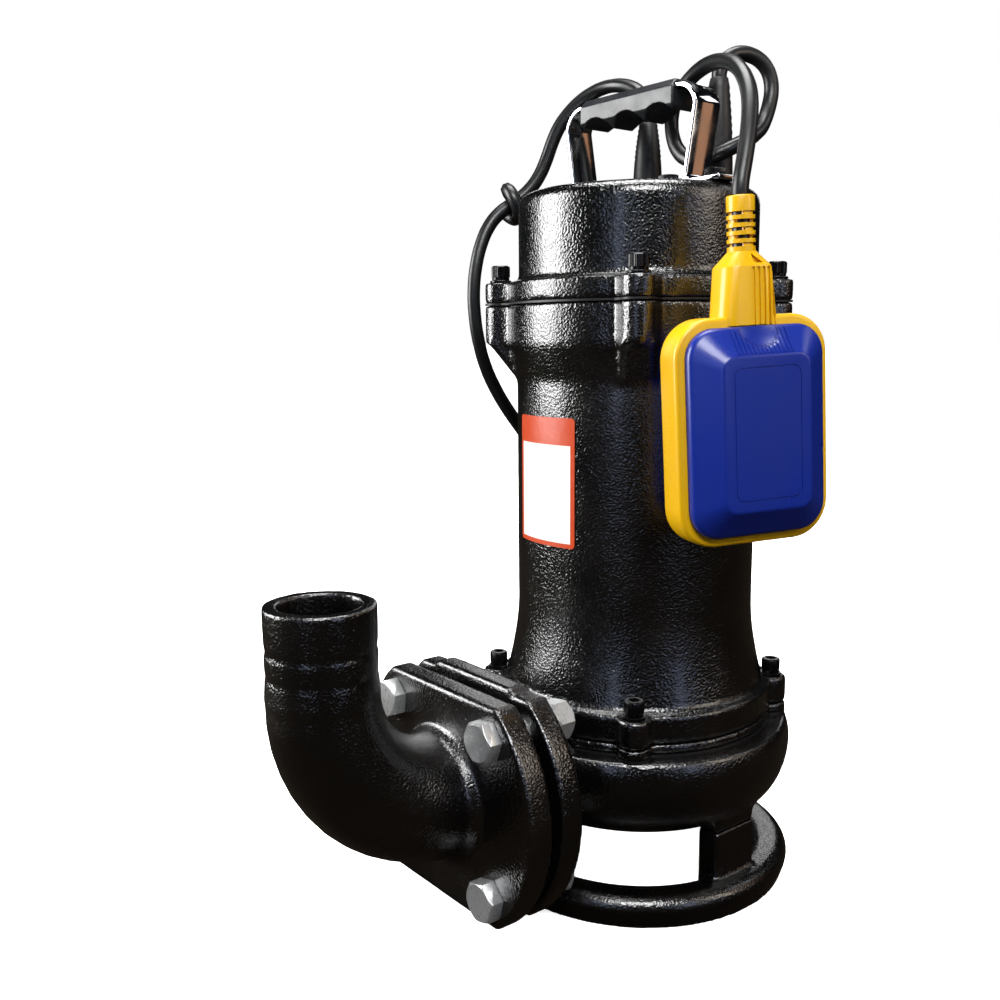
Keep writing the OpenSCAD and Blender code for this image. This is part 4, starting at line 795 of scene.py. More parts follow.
@dataclass
class Studio:
    """Camera, pale floor, soft lights and a plain surround."""

    eye: Triple = (412.435, 402.452, 294.120)
    right: Triple = (-0.78364687, 0.62114315, -0.00887559)
    up: Triple = (-0.10205659, -0.11463686, 0.98815122)
    lens: float = 37.82
    sensor: float = 36.0
    floor_half: float = 30.0
    paper_white: str = "#f4f4f3"
    paper_fibre: str = "#f1f1f0"
    paper_lift: float = 0.72
    floor_light: float = 3.6
    floor_light_angle: float = 50.0
    reflected_floor: str = "#17130f"
    backdrop: str = "#ffffff"
    surround: str = "#2c2f36"
    surround_strength: float = 0.2
    lights: Sequence[Softbox] = (
        Softbox("key_softbox", (1.05, -0.95, 0.62), (0.75, 0.95), 32.0),
        Softbox("high_softbox", (0.75, 0.95, 1.35), (0.8, 0.6), 26.0),
        Softbox("top_softbox", (-0.1, -0.15, 1.6), (0.9, 0.7), 22.0),
        Softbox("back_softbox", (-1.15, -1.0, 0.75), (0.9, 0.4), 2.5),
        Softbox("right_softbox", (-0.55, 1.3, 0.85), (0.4, 0.7), 4.5, "#fff1e2"),
        Softbox("warm_card", (-0.97, 0.9, 0.6), (0.34, 0.3), 0.16, "#ffb98c"),
        Softbox("bend_card", (-1.0, 0.55, 1.1), (0.4, 0.3), 0.9),
        Softbox("left_strip", (1.15, 0.62, 0.5), (0.16, 0.7), 1.1, "#cfdcff"),
        Softbox("right_strip", (0.1, 1.35, 0.5), (0.2, 0.7), 1.3, "#cfdcff"),
    )

    def camera(self) -> None:
        """Creates the camera."""
        data = bpy.data.cameras.new("studio_camera")
        data.lens = self.lens
        data.sensor_width = self.sensor
        data.clip_start = 0.01
        data.clip_end = 90.0
        camera = add_object("studio_camera", data)
        x, y = Vector(self.right), Vector(self.up)
        turn = Matrix((x, y, x.cross(y))).transposed().to_4x4()
        camera.matrix_world = Matrix.Translation(metres(*self.eye)) @ turn
        bpy.context.scene.camera = camera

    def paper(self) -> bpy.types.Material:
        """Makes the floor's matt paper, which glows faintly and which the enamel mirrors darker."""
        material = bpy.data.materials.new("matt_paper")
        material.use_nodes = True
        tree = material.node_tree
        shader = tree.nodes["Principled BSDF"]
        place = add_node(tree, "ShaderNodeTexCoord", {}, {})
        path = add_node(tree, "ShaderNodeLightPath", {}, {})
        camera_ray = path.outputs["Is Camera Ray"]
        box = Palette(tree, shader, place.outputs["Object"])
        seen = box.blend(box.noise(40.0, 3.0), self.paper_white, self.paper_fibre)
        settings = {"data_type": "RGBA", "6": rgba(self.reflected_floor)}
        mixed = add_node(tree, "ShaderNodeMix", settings, {"Factor": camera_ray, "7": seen})
        box.use(Base_Color=mixed.outputs[2], Roughness=0.9, Specular_IOR_Level=0.0)
        box.use(Emission_Color=rgba("#ffffff"))
        box.use(Emission_Strength=box.combine("MULTIPLY", camera_ray, self.paper_lift))
        return material

    def floor(self) -> None:
        """Creates the floor and the even light that falls on it alone."""
        deselect()
        bpy.ops.mesh.primitive_plane_add(size=2 * self.floor_half)
        floor = bpy.context.object
        floor.name = "studio_floor"
        floor.data.materials.append(self.paper())
        data = bpy.data.lights.new("floor_light", "SUN")
        data.energy = self.floor_light
        data.angle = math.radians(self.floor_light_angle)
        light = add_object("floor_light", data)
        lit = bpy.data.collections.new("lit_floor")
        lit.objects.link(floor)
        light.light_linking.receiver_collection = lit

    def world(self) -> None:
        """Creates the surround: pale where the camera looks past the floor, dim as a light."""
        world = bpy.data.worlds.new("studio_surround")
        bpy.context.scene.world = world
        world.use_nodes = True
        tree = world.node_tree
        tree.nodes.clear()
        seen, dim = (
            add_node(tree, "ShaderNodeBackground", {"Color": rgba(colour), "Strength": strength}, {})
            for colour, strength in ((self.backdrop, 1.0), (self.surround, self.surround_strength))
        )
        path = add_node(tree, "ShaderNodeLightPath", {}, {})
        shades = {"1": dim.outputs["Background"], "2": seen.outputs["Background"]}
        mixed = add_node(tree, "ShaderNodeMixShader", {}, {"0": path.outputs["Is Camera Ray"], **shades})
        add_node(tree, "ShaderNodeOutputWorld", {}, {"Surface": mixed.outputs["Shader"]})

    def build(self) -> None:
        """Creates the whole studio."""
        bpy.context.scene.view_settings.view_transform = "Standard"
        self.camera()
        self.floor()
        self.world()
        for light in self.lights:
            light.build()


# ---------------------------------------------------------------------------------------------
# Cords
# ---------------------------------------------------------------------------------------------


def cord_curve(name: str, points: Sequence[Triple], diameter: float, detail: int) -> bpy.types.Object:
    """Makes a round cord on one open smooth spline.

    Args:
        name: Name of the piece.
        points: Points that the cord passes through, in millimetres.
        diameter: Its diameter in millimetres.
        detail: Chords between two points.

    Returns:
        The curve object.
    """
    curve = bpy.data.curves.new(name, "CURVE")
    curve.dimensions = "3D"
    curve.resolution_u = detail
    curve.render_resolution_u = detail
    curve.bevel_depth = diameter / 2 * MM
    curve.bevel_resolution = 2
    curve.use_fill_caps = True
    spline = curve.splines.new("BEZIER")
    spline.bezier_points.add(len(points) - 1)
    for knot, point in zip(spline.bezier_points, points):
        knot.co = metres(*point)
        knot.handle_left_type = knot.handle_right_type = "AUTO"
    return add_object(name, curve)


@dataclass
class MainsLead:
    """Mains lead with its hitch, wound coil, tie and plug."""

    diameter: float = 8.0
    route: Sequence[Triple] = (
        (-25, -17, 409), (-25, -17, 412.6), (-25.4, -18.6, 418.6), (-26.4, -22.6, 424), (-27.6, -28, 428.2),
        (-28.8, -34.4, 431.4), (-29.6, -41.4, 433.8), (-29.6, -48.8, 435.2), (-28.4, -56.2, 435),
        (-26.2, -63.2, 433), (-23.2, -69.8, 429.2), (-19.6, -75.4, 423.4), (-16, -80, 416),
        (-13.2, -83.2, 407.2), (-10.8, -85.6, 398), (-7.4, -88, 388.8), (-3, -90.8, 381.4),
        (2.4, -94, 375.6), (8.4, -97, 371), (14.6, -99.4, 366.2), (20.6, -101.2, 359), (26, -102, 348.5),
        (30, -102, 336), (32, -102, 321.5), (31.5, -102, 307), (29, -102, 292.5), (24, -102.5, 278),
        (16.5, -103, 264.5), (7, -103, 251), (-4.5, -102.5, 237), (-16.5, -101, 221), (-28, -98.5, 203),
        (-38, -94.5, 183), (-46, -89.5, 160), (-51, -84, 136), (-54, -79, 112), (-55, -76, 88),
        (-55, -74.5, 64), (-55, -74, 46), (-55, -75, 34), (-54.9, -79.5, 21), (-54.6, -88, 11),
        (-54.2, -97.5, 6.2), (-54, -106, 5),
    )
    hitch_at: Triple = (7.0, -96.3, 372.0)
    hitch_along: Triple = (6.0, -2.8, -4.7)
    coil_centre: Pair = (-123.0, -122.0)
    coil_radius: float = 69.0
    coil_pitch: float = 9.4
    layer_rise: float = 10.3
    low_z: float = 5.0
    spiral_turns: float = 4.5
    layers: int = 4
    per_turn: int = 24
    lead_in: float = 8.0
    tail_climb: float = 0.5
    tail_turn: float = 0.25
    tail_radius: float = 36.0
    plug_radius: float = 13.0
    plug_length: float = 52.0

    @property
    def layer_turns(self) -> float:
        """Turns from the start of one layer to the start of the next."""
        return self.spiral_turns + 0.5

    @property
    def wound_turns(self) -> float:
        """Turns in the whole coil."""
        return self.layers * self.layer_turns - 0.5

    @property
    def plug_z(self) -> float:
        """Height of the plug's axis, where it lies on the coil."""
        return self.low_z + (self.layers - 1) * self.layer_rise + self.diameter / 2 + self.plug_radius + 0.6

    def on_coil(self, turn: float, radius: float, z: float) -> Triple:
        """Point at a number of turns round the coil's centre."""
        x, y = polar(radius, -360.0 * turn)
        return (self.coil_centre[0] + x, self.coil_centre[1] + y, z)

    def wound(self, turn: float) -> Triple:
        """Point of the coil after a number of turns."""
        layer = min(int(turn // self.layer_turns), self.layers - 1)
        share = min((turn - layer * self.layer_turns) / self.spiral_turns, 1.0)
        inward = share if layer % 2 == 0 else 1.0 - share
        climb = max(0.0, (turn - layer * self.layer_turns - self.spiral_turns) / 0.5)
        radius = self.coil_radius - self.spiral_turns * self.coil_pitch * inward
        return self.on_coil(turn, radius, self.low_z + self.layer_rise * (layer + climb))

    def tail(self, turns: float) -> Triple:
        """Point of the coil's tail, which climbs onto the coil and runs in to the plug."""
        share = max(0.0, (turns - self.tail_climb) / self.tail_turn)
        eased = share * share * (3 - 2 * share)
        top = self.wound(self.wound_turns)[2]
        z = top + self.layer_rise * min(1.0, turns / self.tail_climb)
        coil_top = self.low_z + self.layers * self.layer_rise
        radius = self.coil_radius + (self.tail_radius - self.coil_radius) * eased
        return self.on_coil(self.wound_turns + turns, radius, z + (self.plug_z - coil_top) * share)

    def points(self) -> list[Triple]:
        """All points of the lead from its boot to its plug."""
        steps = round(self.wound_turns * self.per_turn)
        tail_steps = round((self.tail_climb + self.tail_turn) * self.per_turn)
        coil = [self.wound(i / self.per_turn) for i in range(steps + 1)]
        tail = [self.tail(i / self.per_turn) for i in range(1, tail_steps + 1)]
        start = (self.coil_centre[0] + self.coil_radius, self.coil_centre[1] + self.lead_in, self.low_z)
        return [*self.route, start, *coil, *tail, self.plug_start(tail[-1])]

    def plug_start(self, end: Triple) -> Triple:
        """Point where the lead goes into its plug."""
        return (end[0] - self.diameter, end[1], self.plug_z)

    def hitch(self) -> bpy.types.Object:
        """Makes the turn of lead that is wrapped round itself."""
        centre = Vector(self.hitch_at)
        along = Vector(self.hitch_along).normalized()
        side = along.cross(Vector((0, 0, 1))).normalized()
        top = side.cross(along)
        steps, sweep, start = 20, 400, -20
        points = []
        for i in range(steps + 1):
            angle = math.radians(sweep * i / steps + start)
            round_it = (math.cos(angle) * side + math.sin(angle) * top) * (self.diameter + 0.5)
            points.append(tuple(centre + round_it + along * (i / steps - 0.5) * (self.diameter + 3)))
        turn = cord_curve("lead_hitch_turn", points, self.diameter, 3)
        return mount(turn, "pump", "cable_jacket", "lead_hitch")

    def tie(self) -> bpy.types.Object:
        """Makes the strap that holds the coil's turns."""
        inner = self.coil_radius - self.spiral_turns * self.coil_pitch - self.diameter / 2 - 1.5
        outer = self.coil_radius + self.diameter / 2 + 1.5
        high = self.low_z + (self.layers - 1) * self.layer_rise + self.diameter / 2 + 1.1
        middle = ((inner + outer) / 2, high / 2 + 0.2)
        section = round_square(outer - inner, high - 0.4, 5.0, 5)
        loop = [(middle[0] + x, -6.0, middle[1] + z) for x, z in section]
        bench = Bench.line("coil_tie_strap", [*loop, loop[0]])
        bench.push(y=12.0).weld()
        bench.outward().modify("SOLIDIFY", thickness=0.8 * MM, offset=-1.0)
        bench.round_edges(0.25, 2, 50)
        bench.shift(moved(self.coil_centre[0], self.coil_centre[1], 0) @ turned(200))
        return mount(bench.shade(), "pump", "tie_strap", "coil_tie")

    def plug(self, start: Triple) -> list[bpy.types.Object]:
        """Makes the moulded plug and its pins.

        Args:
            start: Point where the lead goes into the plug.

        Returns:
            The body and the pins.
        """
        r, length = self.plug_radius, self.plug_length
        sleeve = [(0.0, 0.0), (self.diameter / 2 + 1, 0.0)]
        for i in range(4):
            z = 2.0 + 3.6 * i
            wide = self.diameter / 2 + 1.3 + 0.35 * i
            sleeve += [(wide, z), (wide, z + 1.8), (wide - 0.9, z + 2.0), (wide - 0.9, z + 3.2)]
        body = [(r - 2.0, 19.5), (r - 0.9, 21.5), (r - 0.2, 25.0), (r - 1.6, 31.0), (r - 1.9, 35.0)]
        body += [(r - 1.2, 40.0), (r, 45.0), (r, length - 1.6), (r - 0.5, length - 0.5)]
        body += [(r - 1.6, length), (0, length)]
        lay = moved(*start) @ turned(-90, "Y")
        shell = Bench.lathe("plug_moulding", sleeve + body, 48)
        ribs = []
        for angle in (-30, -15, 0, 15, 30, 150, 165, 180, 195, 210):
            rib = Bench.block("plug_rib", (r - 3.0, -1.0, 28.0), (r - 0.6, 1.0, 42.0))
            ribs.append(rib.round_edges(0.4, 2).shift(turned(angle)))
        moulding = join("plug_moulding", [shell, *ribs]).shift(lay)
        moulding_obj = mount(moulding.shade(), "pump", "boot_rubber", "plug_body")
        pin = Bench.lathe(
            "plug_contact_pins",
            [(0, 0), (2.4, 0), (2.4, 16.4), (2.1, 17.9), (1.2, 18.9), (0, 19.0)],
            24,
        )
        spots = [lay @ moved(0, side * 9.5, length) for side in (-1, 1)]
        pins = mount(pin.repeat("plug_contact_pins", spots).shade(), "pump", "zinc_steel", "plug_pins")
        return [moulding_obj, pins]

    def build(self) -> None:
        """Makes the lead and all that is on it."""
        points = self.points()
        lead = cord_curve("mains_lead_run", points, self.diameter, 3)
        mount(lead, "pump", "cable_jacket", "mains_lead", "mains_lead_coil")
        pieces = [self.hitch(), self.tie(), *self.plug(points[-1])]


@dataclass
class FloatCord:
    """Cord of the float switch, from its boot, looped over the handle and down to the float."""

    diameter: float = 7.8
    bend_start: Triple = (20.0, 86.5, 392.0)
    route: Sequence[Triple] = (
        (-30, 28, 425), (-30, 28, 427), (-31.2, 28.4, 431), (-34, 29.2, 434.8), (-38, 30.4, 437.2),
        (-42.8, 31.8, 438.2), (-47.6, 33.4, 437.8), (-52.8, 35.4, 435.6), (-56.6, 37.2, 431.6),
        (-58.6, 38.4, 426.2), (-58.8, 39, 420.2), (-57.2, 39.4, 414.4), (-54.4, 40, 408.8), (-50.8, 41, 404),
        (-46.4, 42.6, 400), (-41.4, 44.2, 396.8), (-36.2, 45, 394), (-30.2, 44.8, 391.2), (-24, 42.8, 388.2),
        (-18.8, 39, 385.2), (-15.6, 33.4, 383.2), (-14.2, 27, 382.8), (-14, 20.4, 384.8),
        (-14.6, 14.6, 389.4), (-15.6, 10.4, 395.4), (-16.4, 8.2, 402.2), (-16.8, 8.2, 409.2),
        (-16.6, 10.8, 415.6), (-15.8, 16, 420.4), (-14, 23.2, 423.9), (-11.2, 32, 426), (-8, 41.2, 426.4),
        (-4, 51.4, 425), (0, 60.8, 421.8), (4, 68.8, 416.8), (8, 75.6, 410.6), (11.8, 80.8, 404),
        (15.2, 84.4, 397.6), (18.4, 87, 391.2), (21.4, 89, 384.8), (24.2, 90.5, 378.4), (26.6, 91.5, 372.2),
        (28.8, 92.3, 366.6), (30.4, 92.8, 362), (31.1, 93, 358), (31, 93, 355),
    )

    def build(self) -> None:
        """Makes the cord as a tube along its route from the pump down to the float."""
        curve = cord_curve("float_cord_run", self.route, self.diameter, 5)
        choose(curve)
        bpy.ops.object.convert(target="MESH")
        bench = Bench(bpy.context.object).edit().weld().outward()
        obj = mount(bench.shade(Shading.SMOOTH), None, "cable_jacket", "float_cord")
        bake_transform(obj)


# ---------------------------------------------------------------------------------------------
# Castings
# ---------------------------------------------------------------------------------------------


@dataclass
class Casting:
    """A painted casting: the solid with the soft edges and slight waves of a sand mould."""

    name: str
    node: str
    voxel: float
    smooth: int = 6
    slot: str = "cast_enamel"
    body: str = "pump"
    waves: float = 0.12

    def build(self) -> None:
        """Makes the casting from a merged copy of its solid."""
        bench = Bench.of_node(self.name, self.node).recast(self.voxel, self.smooth)
        if self.waves:
            sand = bpy.data.textures.new(f"{self.name}_mould", "CLOUDS")
            sand.noise_scale = 14.0 * MM
            sand.noise_depth = 1
            bench.modify(
                "DISPLACE", texture=sand, strength=self.waves * MM, mid_level=1.0, texture_coords="LOCAL"
            )
        mount(bench.shade(Shading.SMOOTH), self.body, self.slot, self.node)


@dataclass
class Castings:
    """The pump's castings."""

    parts: Sequence[Casting] = (
        Casting("stand_casting", "base_stand", 1.3),
        Casting("volute_enamelled", "volute_casing", 1.4),
        Casting("seal_plate_casting", "seal_plate", 1.5, 4),
        Casting("housing_casting", "motor_housing", 1.6),
        Casting("cover_casting", "top_cover", 1.3),
        Casting("elbow_casting", "discharge_elbow", 1.2, 5),
        Casting("impeller_casting", "impeller", 1.1, 4, "grey_iron", "rotor", 0.5),
        Casting("bracket_casting", "bearing_bracket", 1.5, 4, "grey_iron"),
    )

    def build(self) -> None:
        """Makes all the castings."""
        for part in self.parts:
            part.build()


# ---------------------------------------------------------------------------------------------
# Fasteners
# ---------------------------------------------------------------------------------------------


def hexagon(name: str, flats: float, height: float, both_ends: bool, bore: float = 0.0) -> Bench:
    """Makes a chamfered hexagon head or nut that stands on z = 0.

    Args:
        name: Name of the piece.
        flats: Width across its flats.
        height: Its height.
        both_ends: Whether the lower end is chamfered too.
        bore: Radius of its bore, or zero.

    Returns:
        The hexagon.
    """
    corner = flats / math.sqrt(3)
    face = flats / 2 * 0.96
    drop = (corner + 0.5 - face) * math.tan(math.radians(30))
    low = [(0, 0), (face, 0), (corner + 0.5, drop)] if both_ends else [(0, 0), (corner + 0.5, 0)]
    dome = Bench.lathe("chamfer", [*low, (corner + 0.5, height - drop), (face, height), (0, height)], 72)
    bench = Bench.cylinder(name, corner, (0, 0, 0), height, 6).carve(dome, operation="INTERSECT")
    if bore:
        bench.carve(Bench.cylinder("bore", bore, (0, 0, -1), height + 2, 48))
    return bench.round_edges(0.2, 2, 20)


def thread(name: str, radius: float, pitch: float, low: float, high: float) -> Bench:
    """Makes a threaded rod along z with a real helix.

    Args:
        name: Name of the piece.
        radius: Outer radius of the thread.
        pitch: Its pitch.
        low: Height of its lower end.
        high: Height of its upper end.

    Returns:
        The rod with closed ends.
    """
    root = radius - 0.6 * pitch
    turns = math.ceil((high - low) / pitch) + 2
    start = low - pitch
    shape = [(root, 0.0), (radius, 0.42), (radius, 0.55), (root, 0.95), (root, 1.0)]
    bench = Bench.line(name, [(r, 0.0, start + z * pitch) for r, z in shape])
    bench.modify(
        "SCREW",
        angle=2 * math.pi,
        screw_offset=pitch * MM,
        iterations=turns,
        steps=28,
        render_steps=28,
        use_merge_vertices=True,
        merge_threshold=1e-6,
        use_normal_calculate=True,
    )
    bench.edit().weld()
    bench.cut((0, 0, high), (0, 0, 1)).cut((0, 0, low), (0, 0, -1))
    return bench.outward().rest()


def plain_washer(name: str, bore: float, radius: float, low: float, height: float) -> Bench:
    """Makes a flat washer with stamped edges."""
    e = 0.2
    ring = [(bore, low), (radius - e, low), (radius, low + e), (radius, low + height - e)]
    ring += [(radius - e, low + height), (bore, low + height), (bore, low)]
    return Bench.lathe(name, ring, 48)


def spring_washer(name: str, bore: float, radius: float, low: float, height: float) -> Bench:
    """Makes a split spring washer of square wire."""
    twist = 0.25
    e = 0.15
    section = [
        (bore, low + twist), (bore, low + height - twist), (bore + e, low + height - twist + e),
        (radius - e, low + height - twist + e), (radius, low + height - twist), (radius, low + twist),
    ]
    bench = Bench.outline(name, [(x, 0.0, z) for x, z in section])
    bench.spin(345.0, 42)
    mesh = bmesh.from_edit_mesh(bench.obj.data)
    for vertex in mesh.verts:
        angle = math.atan2(vertex.co.y, vertex.co.x) % (2 * math.pi)
        vertex.co.z += twist * MM * (angle / (2 * math.pi) - 0.5)
    bmesh.update_edit_mesh(bench.obj.data)
    bpy.ops.mesh.select_all(action="SELECT")
    bpy.ops.mesh.fill_holes(sides=0)
    return bench.outward().rest()


@dataclass
class CapScrews:
    """Rings of socket head cap screws with their washers."""

    thread_radius: float = 3.0
    head_radius: float = 5.0
    head_height: float = 6.0
    washer_height: float = 1.2
    spring_height: float = 1.8
    angles: Sequence[float] = (45, 135, 225, 315)
    stand_angles: Sequence[float] = (0, 90, 180, 270)
    stand_radius: float = 69.0
    stand_seat: float = 13.0
    stand_depth: float = 35.0

    def head(self, name: str, low: float, depth: float) -> Bench:
        """Makes one screw: knurled head with its hexagon socket, and its shank.

        Args:
            name: Name of the piece.
            low: Height of the head's underside.
            depth: Length of the shank below it.

        Returns:
            The screw on the z axis.
        """
        r, top = self.head_radius, low + self.head_height
        sides = 72
        bench = Bench.cylinder(name, r, (0, 0, low), self.head_height, sides)
        mesh = bench.obj.data
        for vertex in mesh.vertices:
            angle = math.degrees(math.atan2(vertex.co.y, vertex.co.x)) % 360
            if round(angle / (360 / sides)) % 2:
                vertex.co.x *= 0.965
                vertex.co.y *= 0.965
        rim = [(0, low - 1), (r + 1, low - 1), (r + 1, top - 1.5), (r - 0.75, top), (0, top)]
        bench.carve(Bench.lathe("rim", rim, 48), operation="INTERSECT")
        bench.carve(Bench.cylinder("socket", self.thread_radius, (0, 0, top - 3), 4, 6))
        bench.round_edges(0.12, 1, 50)
        shank = thread("shank", self.thread_radius, 1.0, low - depth, low + 0.2)
        return join(name, [bench, shank])

    def ring(self, name: str, node: str, radius: float, seat: float, depth: float) -> None:
        """Makes one ring of four screws with their washers.

        Args:
            name: Name of the piece.
            node: CAD node that it replaces.
            radius: Distance of the screws from the shaft.
            seat: Height of the surface that the washers lie on.
            depth: Length of thread below that surface.
        """
        low = seat + self.washer_height + self.spring_height
        screw = self.head("screw", low, low - seat + depth)
        flat = plain_washer("flat", 3.2, self.head_radius + 0.8, seat, self.washer_height)
        on_flat = seat + self.washer_height
        split = spring_washer("split", 3.2, self.head_radius - 0.3, on_flat, self.spring_height)
        one = join(name, [screw, flat, split])
        spots = [turned(a) @ moved(radius, 0, 0) @ turned(a * 0.37) for a in self.angles]
        mount(one.repeat(name, spots).shade(), "pump", "black_steel", node)

    def build(self) -> None:
        """Makes the lower, upper and stand screws."""
        self.ring("lower_cap_screws", "lower_screws", 76.0, 108.0, 27.2)
        self.ring("upper_cap_screws", "upper_screws", 73.0, 323.0, 25.3)
        screw = self.head("stand_cap_screws", 0.0, self.stand_depth)
        spot = moved(self.stand_radius, 0, self.stand_seat) @ turned(180, "X")
        spots = [turned(a) @ spot for a in self.stand_angles]
        mount(screw.repeat("stand_cap_screws", spots).shade(), "pump", "black_steel", "stand_screws")


@dataclass
class FlangeBolting:
    """Four zinc-plated bolts through the discharge flanges, with nuts and washers."""

    gap: float = 77.8
    z: float = 73.0
    front_x: float = 133.0
    back_x: float = 101.0
    radius: float = 6.0
    flats: float = 18.0
    head: float = 7.5
    nut: float = 10.0
    flat_washer: float = 1.2
    lock_washer: float = 2.0
    turns: Sequence[float] = (8.0, 22.0, 41.0, 15.0)

    def spots(self, x: float) -> list[Matrix]:
        """Places of the four bolts with their axis along +x, each turned a little differently."""
        places = []
        for i, (y, z) in enumerate(((1, 1), (-1, 1), (-1, -1), (1, -1))):
            spot = moved(x, y * self.gap / 2, self.z + z * self.gap / 2)
            places.append(spot @ turned(90, "Y") @ turned(self.turns[i]))
        return places

    def build(self) -> None:
        """Makes the bolts, nuts and washers."""
        head = hexagon("head", self.flats, self.head, False)
        reach = self.front_x - self.back_x + self.flat_washer + self.lock_washer + self.nut + 3
        rod = thread("rod", self.radius, 1.75, -reach, -8.0)
        shank = Bench.cylinder("shank", self.radius, (0, 0, -8.5), 9.0, 48)
        bolt = join("bolt", [head, rod, shank])
        bolts = bolt.repeat("zinc_hex_bolts", self.spots(self.front_x))
        mount(bolts.shade(), "pump", "zinc_steel", "flange_bolts")
        nut = hexagon("nut", self.flats, self.nut, True, self.radius + 0.05)
        low = self.back_x - self.flat_washer - self.lock_washer - self.nut
        mount(nut.repeat("zinc_hex_nuts", self.spots(low)).shade(), "pump", "zinc_steel", "flange_nuts")
        bore = self.radius + 0.2
        flat = plain_washer("flat", bore, self.radius + 6, -self.flat_washer, self.flat_washer)
        under = -self.flat_washer - self.lock_washer
        split = spring_washer("split", bore, self.radius + 4, under, self.lock_washer)
        washers = join("washers", [flat, split]).repeat("zinc_washers", self.spots(self.back_x))
        mount(washers.shade(), "pump", "zinc_steel", "flange_washers")


# ---------------------------------------------------------------------------------------------
# Handle, boots and sticker
# ---------------------------------------------------------------------------------------------


@dataclass
class CarryingHandle:
    """Polished strap with a moulded grip, held by two screws."""

    width: float = 18.0
    thickness: float = 2.5
    top_z: float = 417.0
    cover_z: float = 368.0
    half: float = 46.0
    low_half: float = 40.0
    foot: float = 22.0
    corner: float = 12.0
    heel: float = 4.0
    screw_y: float = 52.0
    vent: Pair = (9.0, 30.0)

    def side(self, s: int) -> list[Pair]:
        """Centreline of one half of the strap, as (y, z) points from its foot to its top run."""
        low = self.cover_z + self.thickness / 2
        high = self.top_z - self.thickness / 2
        points = [(s * (self.low_half + self.foot), low)]
        for y, z in arc((0, 0), self.heel, 270, 190, 8):
            points.append((s * (self.low_half + self.heel + y), low + self.heel + z))
        for y, z in arc((0, 0), self.corner, 8, 90, 14):
            points.append((s * (self.half - self.corner + y), high - self.corner + z))
        return points

    def strap(self) -> None:
        """Makes the strap."""
        line = self.side(-1) + self.side(1)[::-1]
        bench = Bench.line("polished_handle_strap", [(-self.width / 2, y, z) for y, z in line])
        bench.push(x=self.width)
        bench.outward().modify("SOLIDIFY", thickness=self.thickness * MM, offset=0.0)
        bench.round_edges(0.7, 3, 50)
        low = self.cover_z - 1
        bench.carve(*(Bench.cylinder("hole", 3.25, (0, s * self.screw_y, low), 5) for s in (-1, 1)))
        mount(bench.shade(), "pump", "polished_strap", "handle_strap")

    def grip(self) -> None:
        """Makes the grip with soft moulded edges."""
        bench = Bench.of_node("moulded_grip", "handle_grip").recast(0.55, 10)
        mount(bench.shade(Shading.SMOOTH), "pump", "grip_moulding", "handle_grip")

    def screws(self) -> None:
        """Makes the two hexagon screws of the feet, and the vent screw with its washer."""
        seat = self.cover_z + self.thickness
        long_screw = join("screw", [hexagon("head", 10.0, 4.0, False), thread("rod", 3.0, 1.0, -11.5, 0.2)])
        spots = [moved(0, s * self.screw_y, seat) @ turned(12 * s) for s in (-1, 1)]
        feet = long_screw.repeat("feet", spots)
        head = hexagon("head", 10.0, 4.0, False).shift(turned(8))
        rod = thread("rod", 3.0, 1.0, -5.8, 0.2)
        washer = plain_washer("washer", 3.05, 6.6, 0.0, 1.0)
        vent = join("vent", [head.shift(moved(0, 0, 1.0)), rod, washer])
        vent.shift(moved(*self.vent, self.cover_z))
        mount(join("cover_hex_screws", [feet, vent]).shade(), "pump", "black_steel", "cover_screws")

    def build(self) -> None:
        """Makes the whole handle."""
        self.strap()
        self.grip()
        self.screws()


